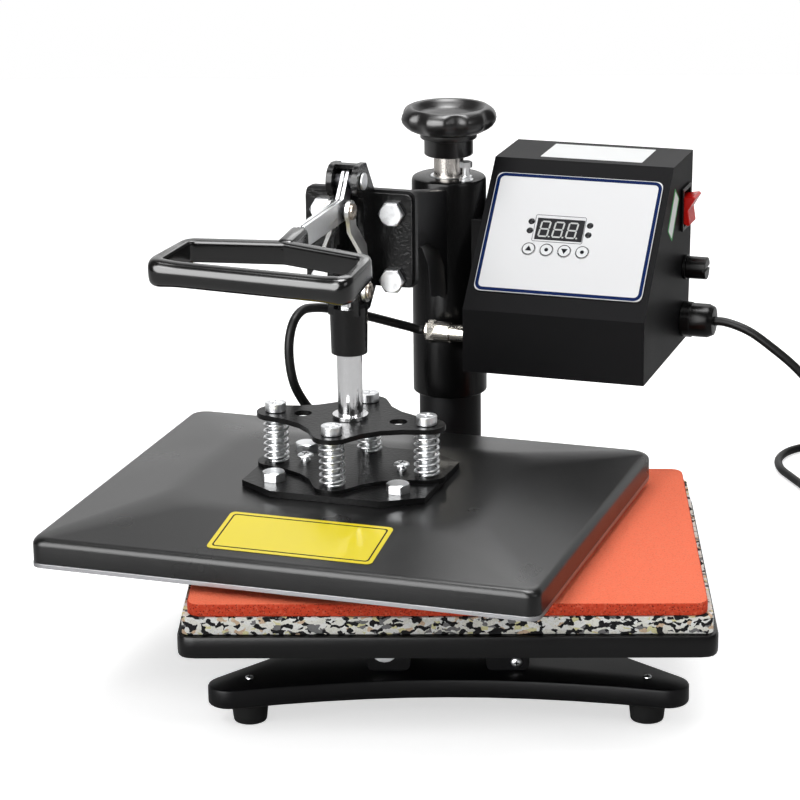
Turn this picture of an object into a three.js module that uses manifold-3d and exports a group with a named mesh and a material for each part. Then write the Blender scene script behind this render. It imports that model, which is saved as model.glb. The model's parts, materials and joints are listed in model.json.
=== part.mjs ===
// A swing-away flat heat press: a padded lower platen on a four-footed base, and a heated
// upper platen on an arm that turns about a column and is pressed down by a toggle clamp.
// Millimetres, +Z up. The front is towards -Y. The press is shown with its arm swung aside.

import * as THREE from 'three';
import { mergeVertices } from 'three/addons/utils/BufferGeometryUtils.js';
import Module from 'manifold-3d';

const wasm = await Module();
wasm.setup();

// Clearances, and how finely round pieces are cut
const seatGap = 0.3;
const runGap = 0.35;
const cutOverrun = 1;
const weldTolerance = 0.0001;
const roundSides = 28;
const smallSides = 16;
const tinySides = 10;
const cornerSteps = 4;
const quarterTurn = Math.PI / 2;
const halfTurn = Math.PI;
const fullTurn = 2 * Math.PI;

// Feet
const footHeight = 17.7;
const footTopRadius = 12.5;
const footSoleRadius = 11;
const footEdge = 1.5;
const footStudRadius = 3;
const footStudLength = 11;

// Base plate, measured from its own middle
const baseThickness = 15;
const baseEdge = 2;
const baseHalfWidth = 176.5;
const baseHalfLength = 218;
const baseMiddleY = 100;
const baseTipRadius = 16;
const baseFrontDip = 21.4;
const baseWaistHalfWidth = 60;
const baseWaistStraight = 34;
const baseFrontControlShare = 0.47;
const baseTipLean = 0.25;
const footInsetX = 30;
const footInsetY = 26;

// Rails that carry the lower platen
const railInnerX = 28;
const railWidth = 32;
const railLength = 160;
const railWall = 3;
const railCorner = 6;
const railBoltZShare = 0.33;
const railBoltOffset = 3;
const railWasherRadius = 10;
const railWasherThickness = 2;
const railBoltHeadRadius = 6;
const railBoltHeadHeight = 5;
const railBoltRadius = 4;
const railBoltLength = 12;

// Lower platen, foam sheet and silicone pad
const platenHalfWidth = 194;
const platenHalfDepth = 154;
const platenHeight = 17.5;
const platenCorner = 14;
const platenEdge = 3;
const platenWall = 3;
const platenRoof = 4;
const platenClearBase = 39.2;
const foamWidth = 380;
const foamDepth = 300;
const foamThickness = 13;
const foamCorner = 4;
const padWidth = 372;
const padDepth = 299;
const padThickness = 9.7;
const padCorner = 10;

// Column
const columnInset = 68;
const postRadius = 25.5;
const postBore = 21;
const postTopZ = 303;
const postNutLength = 70;
const postFlangeRadius = 38;
const postFlangeThickness = 7;
const postFillet = 3;
const sleeveRadius = 30.4;
const sleeveClearance = 0.5;
const sleeveBottomZ = 149.7;
const sleeveTopZ = 330.9;
const sleeveCap = 15.9;
const sleeveEdge = 2.5;
const bushRadius = 15;
const bushFlangeRadius = 21;
const bushFlangeThickness = 3.5;
const bushProud = 0.6;
const collarRadius = 17;
const collarThickness = 3;

// Pressure knob and its spindle
const spindleRadius = 12.15;
const spindleBottomZ = 240;
const hubBottomZ = 348.5;
const hubRadius = 19.8;
const hubHeight = 13.8;
const hubBandRadius = 23;
const hubBandHeight = 5;
const knobRadius = 37.4;
const knobHeight = 21;
const knobLobes = 7;
const knobLobeDepth = 1.6;
const knobBoreDepth = 22;
const knobDish = 4;

// Swing of the arm, and the web and plate that it carries
const armSwing = 17;
const webThickness = 15;
const webEdge = 2.5;
const webTopAtSleeve = 326;
const webTopMiddleA = 96;
const webTopMiddleZ = 341;
const webTopAtPlate = 367;
const webUnderZ = 297;
const webUnderStartA = 118;
const webRootZ = 236;
const armPlateA = 214;
const armPlateThickness = 6;
const armPlateHalfWidth = 43;
const armPlateBottomZ = 297;
const armPlateTopZ = 371;
const armPlateCorner = 6;

// Toggle clamp body
const clampPlateThickness = 5;
const clampPlateInset = 1.5;
const clampPlateCorner = 5;
const clampBoltB = 27;
const clampBoltLowZ = 304;
const clampBoltHighZ = 355;
const clampBoltRadius = 4.8;
const clampBoltHoleRadius = 5.2;
const clampBoltHeadRadius = 10.4;
const clampBoltHeadHeight = 6;
const clampNutHeight = 6;
const plungerA = 250;
const earInnerB = 7.5;
const earThickness = 4.5;
const earFrontA = 247;
const earShoulderReach = 12;
const earShoulderZ = 320;
const earShoulderRise = 10;
const earBottomZ = 284;
const earBackTopA = 240;
const earBackTopZ = 396;
const earBackLowZ = 371;
const guideRadius = 14.4;
const guideFootRadius = 13.6;
const guideBottomZ = 252.6;
const guideTopZ = 288.6;

// Toggle pivots: lever on the clamp, link on the lever, link on the plunger
const topPivotZ = 384;
const topPivotRadius = 13;
const topPinRadius = 4.2;
const topPinHeadRadius = 6.5;
const topPinHeadHeight = 2;
const crankLength = 24.6;
const crankAngle = 37.6;
const linkLength = 65.25;
const hoodInnerRadius = 9.6;
const hoodStart = 75;
const hoodEnd = 190;

// Lever
const leverHalfThickness = 3.2;
const leverCrankHalfWidth = 5.2;
const leverHubRadius = 7.8;
const leverPivotHub = 7.2;
const leverBottomZ = 357.3;
const leverTopZ = 373.5;
const leverEndA = 348;
const leverGrooveWidth = 0.8;
const leverGrooveDepth = 1.2;
const tongueHalfThickness = 2.6;
const tongueLength = 22;
const tongueInset = 3;

// Handle loop: its back is a shallow V, and it sits a little askew on the lever
const neckLength = 34;
const neckWidth = 12.5;
const neckHeight = 18;
const neckRise = -3;
const neckEdge = 2;
const neckCorner = 5;
const loopTilt = 5.7;
const loopSkew = 4.5;
const loopBackA = 376.5;
const loopTopZ = 370.7;
const loopBackDepth = 13.5;
const loopLength = 71;
const loopBackHalfWidth = 72;
const loopFrontHalfWidth = 77;
const loopStrip = 8;
const loopFrontBar = 13;
const loopHeight = 16.5;
const loopEdge = 3;
const loopCorner = 11;

// Link plates
const linkPlate = 3;
const linkUpperB = 6;
const linkLowerB = 12.6;
const linkHalfWidth = 6.5;
const linkEyeRadius = 8.4;
const joggleStart = 14.5;
const joggleEnd = 29.5;
const linkPinRadius = 3.8;
const rivetHeadRadius = 5.4;
const rivetHeadHeight = 1.8;

// Plunger
const shaftRadius = 9.45;
const shaftTopZ = 313;
const flatsHalfThickness = 6.6;
const flatsBottomZ = 292;
const flatsTopRound = 6;
const lowerPinRadius = 4;
const lowerPinHalfLength = 12.2;
const plungerDown = 5.2;
const plungerUp = 20;
const shaftCollarRadius = 13.6;
const shaftCollarHeight = 3;
const shaftStudRadius = 6;
const shaftNutRadius = 10;
const shaftNutHeight = 6;

// Upper and lower spring plates
const spiderTopZ = 201.2;
const spiderThickness = 4;
const spiderReachA = 43;
const spiderReachB = 60;
const spiderLobeRadius = 14.5;
const spiderWaistShare = 0.43;
const spiderHoleRadius = 6.7;
const spiderHoleB = 38;
const starThickness = 3;
const mountPlateThickness = 5;
const mountHalfLength = 61;
const mountHalfWidth = 72;
const mountClipA = 18;
const mountClipB = 29;
const mountBoltA = 36;
const mountBoltB = 49;
const mountBoltHeadRadius = 9;
const mountBoltHeadHeight = 6.5;

// Springs and the screws inside them
const springWire = 2;
const springRadius = 8.8;
const springCurls = 6;
const springStepsPerCurl = 8;
const springSides = 5;
const guideScrewRadius = 6;
const guideScrewHeadRadius = 7.9;
const guideScrewHeadHeight = 6.7;
const guideScrewCross = 9;
const guideScrewSlot = 1.8;

// Upper platen
const coverHalfWidth = 193.3;
const coverHalfDepth = 163.3;
const coverCorner = 10;
const coverSkirtBottomZ = 122.8;
const coverSkirtTopZ = 141.7;
const coverCrownZ = 153.5;
const coverCrownInset = 74;
const coverShoulder = 4;
const coverWall = 2;
const cableBossRadius = 7;
const cableBossHeight = 8;
const cableBossA = 177;
const cableBossB = -45;
const heatPlateBottomZ = 119;
const heatPlateThickness = 12;
const heatPlateLipThickness = 3.3;
const heatBossRadius = 12;

// Control box
const boxLeftB = 33;
const boxRightB = 182;
const boxFloorZ = 188;
const boxCreaseZ = 239.6;
const boxTopZ = 343.5;
const boxFrontA = 71;
const boxTopFrontA = -22;
const boxTopBackA = -89;
const boxFloorBackA = -80;
const boxWall = 1.6;
const boxBackThickness = 1.6;
const lugHalfDepth = 18;
const lugBottomZ = 222;
const lugTopZ = 300;

// Front panel, along the box's width and up its slope
const fasciaInset = 5.5;
const fasciaStart = 17.4;
const fasciaLength = 107.6;
const fasciaThickness = 1;
const fasciaCorner = 6;
const displayB = 99.35;
const displayS = 76;
const displayWidth = 38.7;
const displayHeight = 19;
const displayDepth = 3.4;
const keyRadius = 5.4;
const keyProud = 0.6;
const keyDepth = 3.3;
const keyRowS = 57.2;
const keyFirstB = 77.1;
const keySpacing = 14.75;
const keyCount = 4;
const boardDepth = 4.2;
const boardThickness = 1.6;
const boardWidth = 100;
const boardHeight = 62;
const standoffRadius = 3;
const relaySize = 20;

// Switch, fuse holder and gland on the box's right side
const switchA = -62;
const switchZ = 302;
const switchOpeningWidth = 22.6;
const switchOpeningHeight = 28.6;
const switchRim = 2.2;
const switchRimHeight = 2;
const switchBodyWall = 1.2;
const switchBodyDepth = 20;
const rockerHalfLength = 12.7;
const rockerPivotDepth = 0.5;
const rockerTip = 8.5;
const rockerDip = 4.6;
const rockerRoot = 5.5;
const rockerRootHalf = 8;
const rockerTilt = 11;
const fuseA = -63;
const fuseZ = 251;
const fuseFlangeRadius = 10.2;
const fuseFlangeThickness = 2.5;
const fuseThreadRadius = 6.6;
const fuseThreadLength = 20;
const fuseCapRadius = 9.3;
const fuseCapLength = 16.5;
const fuseCapPlugRadius = 4;
const fuseCapPlugLength = 10;
const fuseCapSlot = 2;
const glandA = -60;
const glandZ = 207.5;
const glandRadius = 14;
const glandLength = 27;
const glandBaseLength = 8;
const glandNoseRadius = 9.5;
const glandDomeShare = 0.72;
const glandThreadRadius = 9;
const glandThreadLength = 12;

// Heater connector on the box's left side
const plugA = 50;
const plugZ = 213;
const socketFlangeRadius = 10.5;
const socketFlangeThickness = 1.6;
const socketRadius = 7.6;
const socketLength = 16;
const socketThreadRadius = 7;
const socketThreadLength = 10;
const plugRadius = 8.6;
const plugBodyLength = 13;
const plugNutRadius = 9.6;
const plugNutLength = 6;

// Cables. The mains lead is 1.8 m long in all.
const heaterCableRadius = 3.6;
const mainsCordRadius = 3.6;
const cordSides = 8;
const coilSides = 6;
const coilStepsPerTurn = 24;
const coilTurns = 3.625;
const coilRadius = 47.5;
const coilPitch = 7.8;
const coilCentreX = 368;
const coilCentreY = 362;
const cordFloorZ = 3.8;
const coilTail = 22;
const mainsPlugLength = 30;
const mainsPlugWidth = 25;
const mainsPlugHeight = 22;
const mainsPlugCorner = 4;
const mainsPlugEdge = 2;
const plugNeckLength = 24;
const plugNeckRadius = 6;
const bladeLength = 17;
const bladeWidth = 6.4;
const bladeThickness = 1.5;
const bladeSpacing = 12.7;
const groundPinRadius = 2.4;
const groundPinOffset = 6;
const bladeDrop = 3.5;

// Turns any closed geometry into one with shared vertices, no empty triangles, faces outward
function closed(geometry) {
  const bare = new THREE.BufferGeometry();
  bare.setAttribute('position', geometry.getAttribute('position'));
  bare.setIndex(geometry.getIndex());
  const merged = mergeVertices(bare, weldTolerance);
  const places = merged.getAttribute('position');
  const order = merged.getIndex().array;
  const kept = [];
  const a = new THREE.Vector3();
  const b = new THREE.Vector3();
  const c = new THREE.Vector3();
  let volume = 0;
  for (let i = 0; i < order.length; i += 3) {
    const [p, q, r] = [order[i], order[i + 1], order[i + 2]];
    if (p === q || q === r || r === p) continue;
    kept.push(p, q, r);
    a.fromBufferAttribute(places, p);
    b.fromBufferAttribute(places, q);
    c.fromBufferAttribute(places, r);
    volume += a.dot(b.cross(c));
  }
  if (volume < 0) kept.reverse();
  merged.setIndex(kept);
  return merged;
}

function toSolid(geometry) {
  const mesh = closed(geometry);
  return new wasm.Manifold(new wasm.Mesh({
    numProp: 3,
    vertProperties: new Float32Array(mesh.getAttribute('position').array),
    triVerts: new Uint32Array(mesh.getIndex().array),
  }));
}

function toGeometry(solid) {
  const mesh = solid.getMesh();
  const geometry = new THREE.BufferGeometry();
  geometry.setAttribute('position', new THREE.BufferAttribute(mesh.vertProperties, 3));
  geometry.setIndex(new THREE.BufferAttribute(mesh.triVerts, 1));
  return geometry;
}

// Joins a list of geometries, then cuts another list out of the result
function carve(joined, removed = []) {
  let solid = toSolid(joined[0]);
  for (const piece of joined.slice(1)) solid = solid.add(toSolid(piece));
  for (const piece of removed) solid = solid.subtract(toSolid(piece));
  return toGeometry(solid);
}

function overlapOf(first, second) {
  return toGeometry(toSolid(first).intersect(toSolid(second)));
}

// Outlines
function roundedOutline(corners, radius) {
  const shape = new THREE.Shape();
  const points = corners.map(([x, y]) => new THREE.Vector2(x, y));
  points.forEach((corner, i) => {
    const before = points[(i + points.length - 1) % points.length];
    const after = points[(i + 1) % points.length];
    const start = corner.clone().add(before.clone().sub(corner).setLength(radius));
    const end = corner.clone().add(after.clone().sub(corner).setLength(radius));
    if (i === 0) shape.moveTo(start.x, start.y);
    else shape.lineTo(start.x, start.y);
    shape.quadraticCurveTo(corner.x, corner.y, end.x, end.y);
  });
  shape.closePath();
  return shape;
}

function rectangle(width, height, radius) {
  const x = width / 2;
  const y = height / 2;
  return roundedOutline([[-x, -y], [x, -y], [x, y], [-x, y]], radius);
}

function polygon(corners) {
  return new THREE.Shape(corners.map(([x, y]) => new THREE.Vector2(x, y)));
}

// Solids from outlines: up from the floor of a piece, or across it
function upright(shape, height, edge = 0) {
  return new THREE.ExtrudeGeometry(shape, {
    depth: height - 2 * edge,
    curveSegments: cornerSteps,
    bevelEnabled: edge > 0,
    bevelThickness: edge,
    bevelSize: edge,
    bevelOffset: -edge,
    bevelSegments: 2,
  }).translate(0, 0, edge);
}

function across(shape, width, edge = 0) {
  return upright(shape, width, edge).rotateX(quarterTurn).translate(0, width / 2, 0);
}

function drum(radius, height, sides = roundSides, topRadius = radius) {
  return new THREE.CylinderGeometry(topRadius, radius, height, sides)
    .rotateX(quarterTurn)
    .translate(0, 0, height / 2);
}

// A round bar along Y, centred on Y = 0
function crossBar(radius, length, sides = smallSides) {
  return new THREE.CylinderGeometry(radius, radius, length, sides);
}

function block(low, high) {
  const size = new THREE.Vector3(...high).sub(new THREE.Vector3(...low));
  const middle = new THREE.Vector3(...high).add(new THREE.Vector3(...low)).multiplyScalar(1 / 2);
  return new THREE.BoxGeometry(size.x, size.y, size.z).translate(middle.x, middle.y, middle.z);
}

function revolved(profile, sides = roundSides) {
  const points = profile.map(([r, z]) => new THREE.Vector2(r, z));
  return new THREE.LatheGeometry(points, sides).rotateX(quarterTurn);
}

// A bar with round ends between two places of the (a, z) plane
function strap(from, to, halfWidth, width) {
  const along = Math.atan2(to[1] - from[1], to[0] - from[0]);
  const length = Math.hypot(to[0] - from[0], to[1] - from[1]);
  const shape = new THREE.Shape();
  shape.absarc(0, 0, halfWidth, quarterTurn, quarterTurn + halfTurn);
  shape.absarc(length, 0, halfWidth, -quarterTurn, quarterTurn);
  return new THREE.ExtrudeGeometry(shape, { depth: width, curveSegments: 10, bevelEnabled: false })
    .rotateZ(along)
    .rotateX(quarterTurn)
    .translate(from[0], width / 2, from[1]);
}

// A tube along a curve
function tube(curve, radius, sides, steps) {
  const section = new THREE.Shape();
  section.absarc(0, 0, radius, 0, fullTurn);
  const ring = polygon(section.getPoints(sides).slice(0, sides).map((p) => [p.x, p.y]));
  return new THREE.ExtrudeGeometry(ring, { steps, bevelEnabled: false, extrudePath: curve });
}

function leastGap(points, diameter, apart) {
  let least = Infinity;
  for (let i = 0; i < points.length; i += 1) {
    for (let k = i + apart; k < points.length; k += 1) {
      least = Math.min(least, points[i].distanceTo(points[k]));
    }
  }
  return least - diameter;
}

function finish(color, roughness, metalness) {
  return new THREE.MeshStandardMaterial({ color, roughness, metalness });
}
const blackPowder = () => finish('#1b1b1c', 0.45, 0.3);
const blackRubber = () => finish('#161617', 0.7, 0);
const blackPlastic = () => finish('#141415', 0.4, 0);
const zinc = () => finish('#c8cacb', 0.3, 0.9);
const polishedSteel = () => finish('#d2d3d4', 0.15, 1);

function place(parent, name, geometry, material, x = 0, y = 0, z = 0) {
  const mesh = new THREE.Mesh(closed(geometry), material);
  mesh.name = name;
  mesh.position.set(x, y, z);
  parent.add(mesh);
  return mesh;
}

const press = new THREE.Group();
const lead = new THREE.Group();
const group = new THREE.Group();
group.add(press, lead);

// The column stands near the rear edge of the base
const columnY = baseMiddleY + baseHalfLength - columnInset;

// Heights that stack up from the floor
const baseBottomZ = footHeight + seatGap;
const baseTopZ = baseBottomZ + baseThickness;
const platenBottomZ = baseTopZ + platenClearBase;
const platenTopZ = platenBottomZ + platenHeight;
const foamBottomZ = platenTopZ + seatGap;
const padBottomZ = foamBottomZ + foamThickness + seatGap;
const railHeight = platenClearBase + platenHeight - platenRoof - 2 * seatGap;

// Base plate: an hourglass with four round tips
function baseOutline() {
  const tipX = baseHalfWidth - baseTipRadius;
  const tipY = baseHalfLength - baseTipRadius;
  const middleY = baseHalfLength - baseFrontDip;
  const quarter = new THREE.Path();
  quarter.moveTo(0, middleY);
  const startX = tipX - baseTipRadius * Math.sin(baseTipLean);
  const startY = tipY + baseTipRadius * Math.cos(baseTipLean);
  quarter.quadraticCurveTo(startX * baseFrontControlShare, middleY, startX, startY);
  quarter.absarc(tipX, tipY, baseTipRadius, quarterTurn + baseTipLean, -quarterTurn / 2, true);
  const sideX = tipX + baseTipRadius * Math.SQRT1_2;
  const sideY = tipY - baseTipRadius * Math.SQRT1_2;
  const reach = sideX - baseWaistHalfWidth;
  const waistY = sideY - reach;
  const bend = waistY - baseWaistStraight;
  quarter.lineTo(baseWaistHalfWidth + bend, waistY + bend);
  quarter.quadraticCurveTo(baseWaistHalfWidth, waistY, baseWaistHalfWidth, baseWaistStraight);
  const side = quarter.getPoints(cornerSteps + 1);
  const right = [...side, ...side.map((p) => new THREE.Vector2(p.x, -p.y)).reverse()];
  const left = right.map((p) => new THREE.Vector2(-p.x, p.y)).reverse();
  const ring = [...right, ...left].filter((p, i, all) => p.distanceTo(all[(i + 1) % all.length]) > weldTolerance);
  return new THREE.Shape(ring);
}

const footPlaces = [
  ['foot_front_left', -1, -1],
  ['foot_front_right', 1, -1],
  ['foot_rear_left', -1, 1],
  ['foot_rear_right', 1, 1],
].map(([name, sideX, sideY]) => [
  name,
  sideX * (baseHalfWidth - footInsetX),
  baseMiddleY + sideY * (baseHalfLength - footInsetY),
]);

const footHoles = footPlaces.map(([, x, y]) =>
  drum(footStudRadius + seatGap, footStudLength + seatGap, tinySides).translate(x, y - baseMiddleY, 0));
place(press, 'base_frame', carve([upright(baseOutline(), baseThickness, baseEdge)], footHoles),
  blackPowder(), 0, baseMiddleY, baseBottomZ);

for (const [name, x, y] of footPlaces) {
  const foot = revolved([
    [0, 0], [footSoleRadius - footEdge, 0], [footSoleRadius, footEdge], [footTopRadius, footHeight],
    [footStudRadius, footHeight], [footStudRadius, footHeight + footStudLength], [0, footHeight + footStudLength],
  ], smallSides);
  place(press, name, foot, blackRubber(), x, y, 0);
}

// Rails: square tubes, closed in front
const railBottomZ = baseTopZ + seatGap;
const railMiddleX = railInnerX + railWidth / 2;
const railBoltZ = railHeight * railBoltZShare;
for (const [name, side] of [['rail_left', -1], ['rail_right', 1]]) {
  const section = (inset) => rectangle(railWidth - 2 * inset, railHeight - 2 * inset, railCorner - inset);
  const outer = across(section(0), railLength);
  const inner = across(section(railWall), railLength).translate(0, railWall, 0);
  const hole = crossBar(railBoltRadius + seatGap, 2 * railBoltLength, tinySides)
    .translate(side * railBoltOffset, -railLength / 2, railBoltZ - railHeight / 2);
  place(press, name, carve([outer], [inner, hole]), blackPowder(),
    side * railMiddleX, 0, railBottomZ + railHeight / 2);
}
const railBolt = revolved([
  [0, -railBoltLength], [railBoltRadius, -railBoltLength], [railBoltRadius, seatGap],
  [railWasherRadius, seatGap], [railWasherRadius, railWasherThickness],
  [railBoltHeadRadius, railWasherThickness],
  [railBoltHeadRadius, railWasherThickness + railBoltHeadHeight],
  [railBoltRadius, railWasherThickness + railBoltHeadHeight],
  [railBoltRadius, railWasherThickness], [0, railWasherThickness],
], smallSides).rotateX(quarterTurn);
place(press, 'rail_bolt', railBolt, zinc(), -railMiddleX - railBoltOffset, -railLength / 2,
  railBottomZ + railBoltZ);

// Lower platen: a shallow tray turned upside down over the rails
const tray = upright(rectangle(2 * platenHalfWidth, 2 * platenHalfDepth, platenCorner), platenHeight, platenEdge);
const trayHollow = upright(
  rectangle(2 * (platenHalfWidth - platenWall), 2 * (platenHalfDepth - platenWall), platenCorner - platenWall),
  platenHeight - platenRoof + cutOverrun,
).translate(0, 0, -cutOverrun);
place(press, 'lower_platen', carve([tray], [trayHollow]), blackPowder(), 0, 0, platenBottomZ);
place(press, 'foam_sheet', upright(rectangle(foamWidth, foamDepth, foamCorner), foamThickness),
  finish('#d9d4c0', 0.95, 0), 0, 0, foamBottomZ);
place(press, 'silicone_pad', upright(rectangle(padWidth, padDepth, padCorner), padThickness),
  finish('#e2583c', 0.8, 0), 0, 0, padBottomZ);

// Column post: a thick tube with a foot flange, and the nut for the spindle in its top
const nutBore = spindleRadius + runGap;
place(press, 'column_post', revolved([
  [postBore, baseTopZ + seatGap],
  [postFlangeRadius, baseTopZ + seatGap],
  [postFlangeRadius, baseTopZ + postFlangeThickness],
  [postRadius + postFillet, baseTopZ + postFlangeThickness],
  [postRadius, baseTopZ + postFlangeThickness + postFillet],
  [postRadius, postTopZ],
  [nutBore, postTopZ],
  [nutBore, postTopZ - postNutLength],
  [postBore, postTopZ - postNutLength],
  [postBore, baseTopZ + seatGap],
]), blackPowder(), 0, columnY, 0);

// Thrust bush: it carries the sleeve and the spindle turns in it
const capUnderZ = sleeveTopZ - sleeveCap;
const bushBore = spindleRadius + runGap;
const bushFlangeTopZ = capUnderZ - seatGap;
const bushBottomZ = bushFlangeTopZ - bushFlangeThickness;
place(press, 'thrust_bush', revolved([
  [bushBore, bushBottomZ],
  [bushFlangeRadius, bushBottomZ],
  [bushFlangeRadius, bushFlangeTopZ],
  [bushRadius, bushFlangeTopZ],
  [bushRadius, sleeveTopZ + bushProud],
  [bushBore, sleeveTopZ + bushProud],
  [bushBore, bushBottomZ],
]), finish('#8d8f92', 0.35, 0.9), 0, columnY, 0);

// Spindle with the collar that lifts the bush
const collarTopZ = bushBottomZ - seatGap;
const collarBottomZ = collarTopZ - collarThickness;
const spindleTopZ = hubBottomZ + knobBoreDepth - seatGap;
place(press, 'spindle', revolved([
  [0, spindleBottomZ],
  [spindleRadius, spindleBottomZ],
  [spindleRadius, collarBottomZ],
  [collarRadius, collarBottomZ],
  [collarRadius, collarTopZ],
  [spindleRadius, collarTopZ],
  [spindleRadius, spindleTopZ],
  [0, spindleTopZ],
]), polishedSteel(), 0, columnY, 0);

// Pressure knob: a stepped hub under a dished head with shallow lobes
const bandBottomZ = hubBottomZ + hubHeight;
const headBottomZ = bandBottomZ + hubBandHeight;
const knobTopZ = headBottomZ + knobHeight;
const knobProfileShares = [
  [0.7, 0.04], [0.88, 0.2], [0.98, 0.38], [1, 0.52], [0.98, 0.68], [0.92, 0.84], [0.84, 0.95], [0.74, 1],
];
const knob = revolved([
  [0, hubBottomZ + knobBoreDepth],
  [spindleRadius + seatGap, hubBottomZ + knobBoreDepth],
  [spindleRadius + seatGap, hubBottomZ],
  [hubRadius, hubBottomZ],
  [hubRadius, bandBottomZ],
  [hubBandRadius, bandBottomZ],
  [hubBandRadius, headBottomZ],
  ...knobProfileShares.map(([r, h]) => [knobRadius * r, headBottomZ + knobHeight * h]),
  [hubBandRadius, knobTopZ - knobDish / 2],
  [0, knobTopZ - knobDish],
], knobLobes * 6);
const knobPlaces = knob.getAttribute('position');
for (let i = 0; i < knobPlaces.count; i += 1) {
  const x = knobPlaces.getX(i);
  const y = knobPlaces.getY(i);
  const radius = Math.hypot(x, y);
  const outward = Math.max(0, (radius - hubBandRadius) / (knobRadius - hubBandRadius));
  const grown = radius + knobLobeDepth * outward * Math.cos(knobLobes * Math.atan2(y, x));
  const scale = radius > 0 ? grown / radius : 1;
  knobPlaces.setX(i, x * scale);
  knobPlaces.setY(i, y * scale);
}
place(press, 'pressure_knob', knob, blackPlastic(), 0, columnY, 0);

// The arm's own frame: x runs forward along the arm, y to its right
const arm = new THREE.Group();
arm.position.set(0, columnY, 0);
arm.rotation.z = -quarterTurn - THREE.MathUtils.degToRad(armSwing);
press.add(arm);

// Sleeve with a closed top, and the lug that the control box is screwed to
const sleeveBore = postRadius + sleeveClearance;
const capBore = bushRadius + runGap;
const sleeveTube = revolved([
  [sleeveBore, sleeveBottomZ],
  [sleeveRadius, sleeveBottomZ],
  [sleeveRadius, sleeveTopZ - sleeveEdge],
  [sleeveRadius - sleeveEdge, sleeveTopZ],
  [capBore, sleeveTopZ],
  [capBore, capUnderZ],
  [sleeveBore, capUnderZ],
  [sleeveBore, sleeveBottomZ],
]);
const lug = block([-lugHalfDepth, 0, lugBottomZ], [lugHalfDepth, boxLeftB - seatGap, lugTopZ]);
const insideSleeve = drum(sleeveRadius - cutOverrun, sleeveTopZ);
place(arm, 'column_sleeve', toGeometry(toSolid(sleeveTube).add(toSolid(lug).subtract(toSolid(insideSleeve)))),
  blackPowder());

// Press arm: a web that runs into the sleeve, and the plate at its end
const webShape = new THREE.Shape();
webShape.moveTo(0, webRootZ);
webShape.lineTo(0, webTopAtSleeve);
webShape.lineTo(sleeveRadius, webTopAtSleeve);
webShape.quadraticCurveTo(webTopMiddleA, webTopMiddleZ, armPlateA + webEdge, webTopAtPlate);
webShape.lineTo(armPlateA + webEdge, webUnderZ);
webShape.lineTo(webUnderStartA, webUnderZ);
webShape.quadraticCurveTo(sleeveRadius, webUnderZ, sleeveRadius, webRootZ);
webShape.closePath();
const web = across(webShape, webThickness, webEdge);
const armPlateHeight = armPlateTopZ - armPlateBottomZ;
const armPlateMiddleZ = (armPlateTopZ + armPlateBottomZ) / 2;
const standingPlate = (halfWidth, height, thickness, corner, a) =>
  upright(rectangle(height, 2 * halfWidth, corner), thickness)
    .rotateY(quarterTurn)
    .translate(a, 0, armPlateMiddleZ);
const armPlate = standingPlate(armPlateHalfWidth, armPlateHeight, armPlateThickness, armPlateCorner, armPlateA);
const clampBoltPlaces = [
  ['clamp_bolt_upper_left', -clampBoltB, clampBoltHighZ],
  ['clamp_bolt_upper_right', clampBoltB, clampBoltHighZ],
  ['clamp_bolt_lower_left', -clampBoltB, clampBoltLowZ],
  ['clamp_bolt_lower_right', clampBoltB, clampBoltLowZ],
];
const clampPlateA = armPlateA + armPlateThickness + seatGap;
const clampFaceA = clampPlateA + clampPlateThickness;
const boltHoles = clampBoltPlaces.map(([, b, z]) =>
  drum(clampBoltHoleRadius, clampFaceA - armPlateA + 2 * cutOverrun, smallSides)
    .rotateY(quarterTurn)
    .translate(armPlateA - cutOverrun, b, z));
const sleeveCutter = drum(sleeveRadius + seatGap, sleeveTopZ + cutOverrun);
place(arm, 'press_arm', carve([web, armPlate], [sleeveCutter, ...boltHoles]), blackPowder());

// Clamp body: plate, two ears with a slot each, hood over the lever, guide tube
const topPivot = [plungerA, topPivotZ];
const crank = THREE.MathUtils.degToRad(crankAngle);
const leverPivot = [plungerA + crankLength * Math.sin(crank), topPivotZ - crankLength * Math.cos(crank)];
const linkLean = Math.asin((leverPivot[0] - plungerA) / linkLength);
const lowerPivotZ = leverPivot[1] - linkLength * Math.cos(linkLean);
const clampPlate = standingPlate(
  armPlateHalfWidth - clampPlateInset, armPlateHeight - 2 * clampPlateInset,
  clampPlateThickness, clampPlateCorner, clampPlateA,
);
const earShape = new THREE.Shape();
earShape.moveTo(clampPlateA, armPlateBottomZ + clampPlateInset);
earShape.lineTo(plungerA - guideRadius, earBottomZ);
earShape.lineTo(plungerA + earShoulderReach, earBottomZ);
earShape.lineTo(plungerA + earShoulderReach, earShoulderZ);
earShape.lineTo(earFrontA, earShoulderZ + earShoulderRise);
earShape.lineTo(earFrontA, topPivotZ - topPivotRadius);
earShape.lineTo(plungerA, topPivotZ - topPivotRadius);
earShape.absarc(plungerA, topPivotZ, topPivotRadius, -quarterTurn, quarterTurn);
earShape.lineTo(earBackTopA, earBackTopZ);
earShape.lineTo(clampPlateA + cutOverrun, earBackLowZ);
earShape.lineTo(clampPlateA, earBackLowZ - clampPlateInset);
earShape.closePath();
const earMiddleB = earInnerB + earThickness / 2;
const ears = [-1, 1].map((side) => across(earShape, earThickness).translate(0, side * earMiddleB, 0));
const hoodShape = new THREE.Shape();
const hoodFrom = THREE.MathUtils.degToRad(hoodStart);
const hoodTo = THREE.MathUtils.degToRad(hoodEnd);
hoodShape.absarc(plungerA, topPivotZ, topPivotRadius, hoodFrom, hoodTo);
hoodShape.absarc(plungerA, topPivotZ, hoodInnerRadius, hoodTo, hoodFrom, true);
hoodShape.closePath();
const hood = across(hoodShape, 2 * earInnerB + cutOverrun);
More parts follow.
